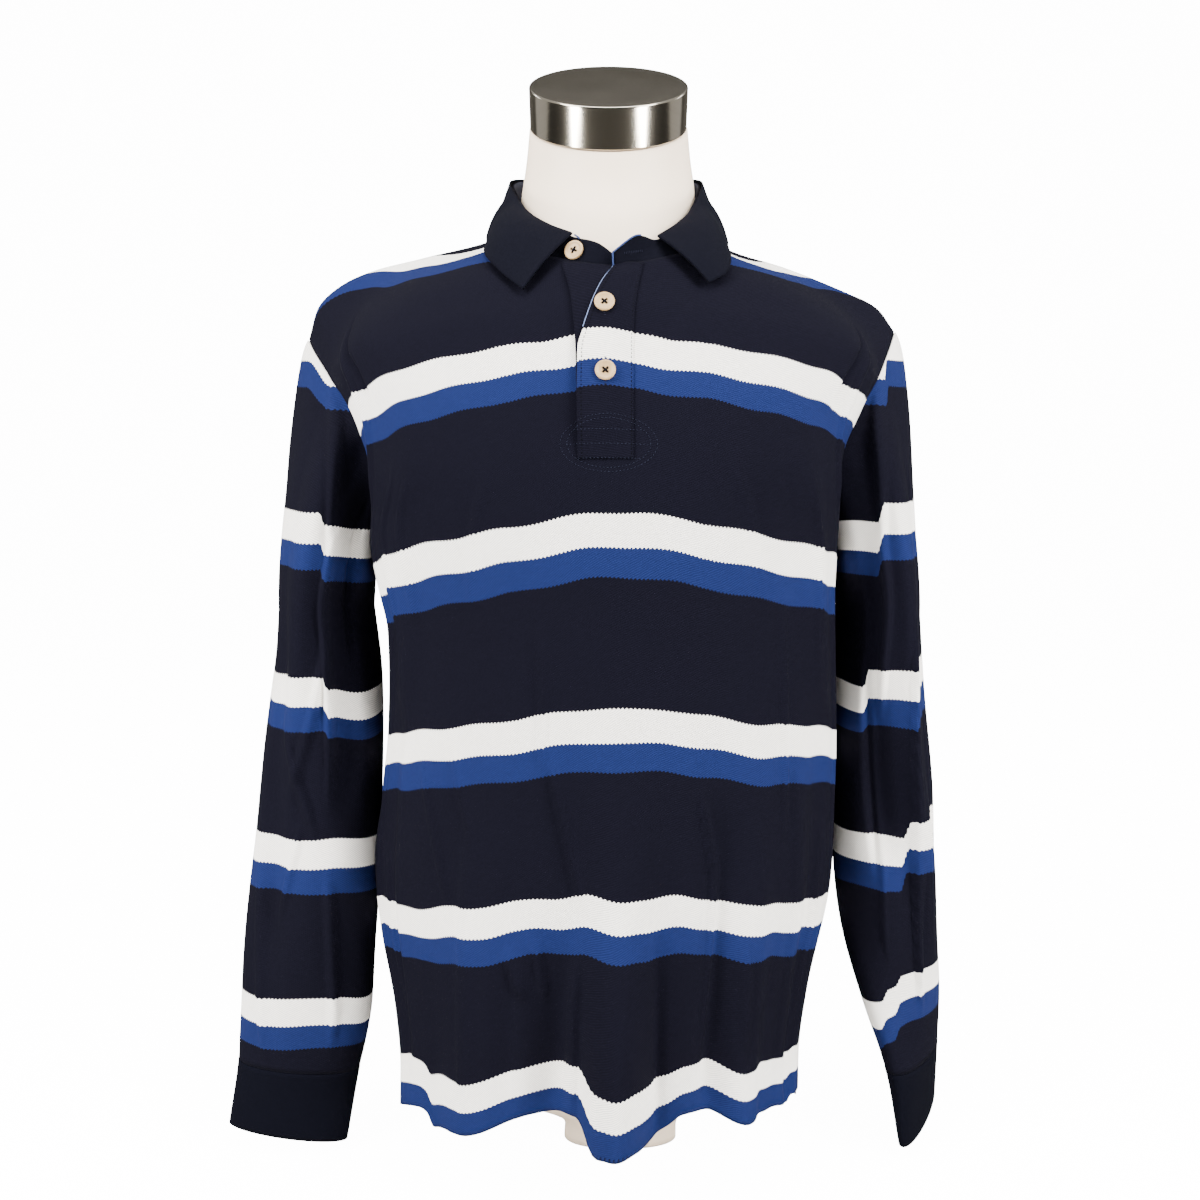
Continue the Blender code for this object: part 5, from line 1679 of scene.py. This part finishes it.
def make_studio():
    """Pale floor that sweeps up behind, with painted dark reflections for glossy rays, soft lights
    and the camera.
    """
    shape = bmesh.new()
    bmesh.ops.create_grid(
        shape, x_segments=1, y_segments=1, size=1.0,
        matrix=Matrix.Diagonal((*SWEEP_HALF, 1, 1)) @ Matrix.Translation((0, SWEEP_SHIFT, 0)),
    )
    far = [edge for edge in shape.edges if all(vert.co.y > 2.5 for vert in edge.verts)]
    bent = bmesh.ops.spin(
        shape, geom=far, cent=SWEEP_BEND, axis=(1, 0, 0), angle=math.radians(90), steps=24,
    )
    last = [item for item in bent["geom_last"] if isinstance(item, bmesh.types.BMEdge)]
    raised = bmesh.ops.extrude_edge_only(shape, edges=last)
    tops = [item for item in raised["geom"] if isinstance(item, bmesh.types.BMVert)]
    bmesh.ops.translate(shape, vec=(0, 0, SWEEP_WALL), verts=tops)
    bmesh.ops.recalc_face_normals(shape, faces=shape.faces)
    mesh = bpy.data.meshes.new("sweep")
    shape.to_mesh(mesh)
    shape.free()
    mesh.shade_smooth()
    sweep = bpy.data.objects.new("sweep", mesh)
    bpy.context.scene.collection.objects.link(sweep)
    look, tree, shader = new_look("pale floor", 0.9)
    rays = add_node(tree, "ShaderNodeLightPath")
    spot = add_node(tree, "ShaderNodeTexCoord").outputs["Object"]
    rise = add_node(tree, "ShaderNodeSeparateXYZ", {0: spot}).outputs[2]
    # Painted reflection: glossy rays see a dark floor and a grey wall instead of the pale floor
    painted_reflection_colour = blend_colour(tree, spread(tree, rise, 0.3, 2.0), FLOOR_PAINTED_REFLECTION, WALL_PAINTED_REFLECTION)
    tree.links.new(
        blend_colour(tree, rays.outputs["Is Glossy Ray"], FLOOR, painted_reflection_colour), shader.inputs["Base Color"]
    )
    glow = arithmetic(tree, "MULTIPLY", rays.outputs["Is Camera Ray"], FLOOR_GLOW)
    shader.inputs["Emission Color"].default_value = (1.0, 1.0, 1.0, 1.0)
    tree.links.new(glow, shader.inputs["Emission Strength"])
    mesh.materials.append(look)

    for name, place, aim, size, watts in LAMPS:
        lamp = bpy.data.lights.new(name, "AREA")
        lamp.shape = "RECTANGLE"
        lamp.size, lamp.size_y = size
        lamp.energy = watts
        holder = bpy.data.objects.new(name, lamp)
        holder.location = place
        holder.visible_camera = False
        holder.rotation_euler = (Vector(aim) - Vector(place)).to_track_quat("-Z", "Y").to_euler()
        bpy.context.scene.collection.objects.link(holder)

    world = bpy.data.worlds.new("studio")
    world.use_nodes = True
    tree = world.node_tree
    way = add_node(tree, "ShaderNodeTexCoord").outputs["Generated"]
    way = add_node(tree, "ShaderNodeSeparateXYZ", {0: way})
    share = spread(tree, way.outputs[1], -0.95, -0.20)
    sky = blend_colour(tree, share, SKY_FRONT, SKY_BACK)
    tree.links.new(sky, tree.nodes["Background"].inputs[0])
    tree.nodes["Background"].inputs[1].default_value = SKY_STRENGTH
    bpy.context.scene.world = world

    lens = bpy.data.cameras.new("camera")
    lens.sensor_width = 36.0
    lens.lens = FOCAL_PIXELS / PICTURE_WIDTH * lens.sensor_width
    camera = bpy.data.objects.new("camera", lens)
    camera.location = CAMERA_PLACE
    camera.rotation_euler = (math.pi / 2 - CAMERA_PITCH, 0.0, 0.0)
    bpy.context.scene.collection.objects.link(camera)
    bpy.context.scene.camera = camera


make_studio()
make_panels()
make_sleeves()
make_collar()
make_plackets()
make_stitches()
make_piping()
make_buttonholes()
make_buttons()
make_form()
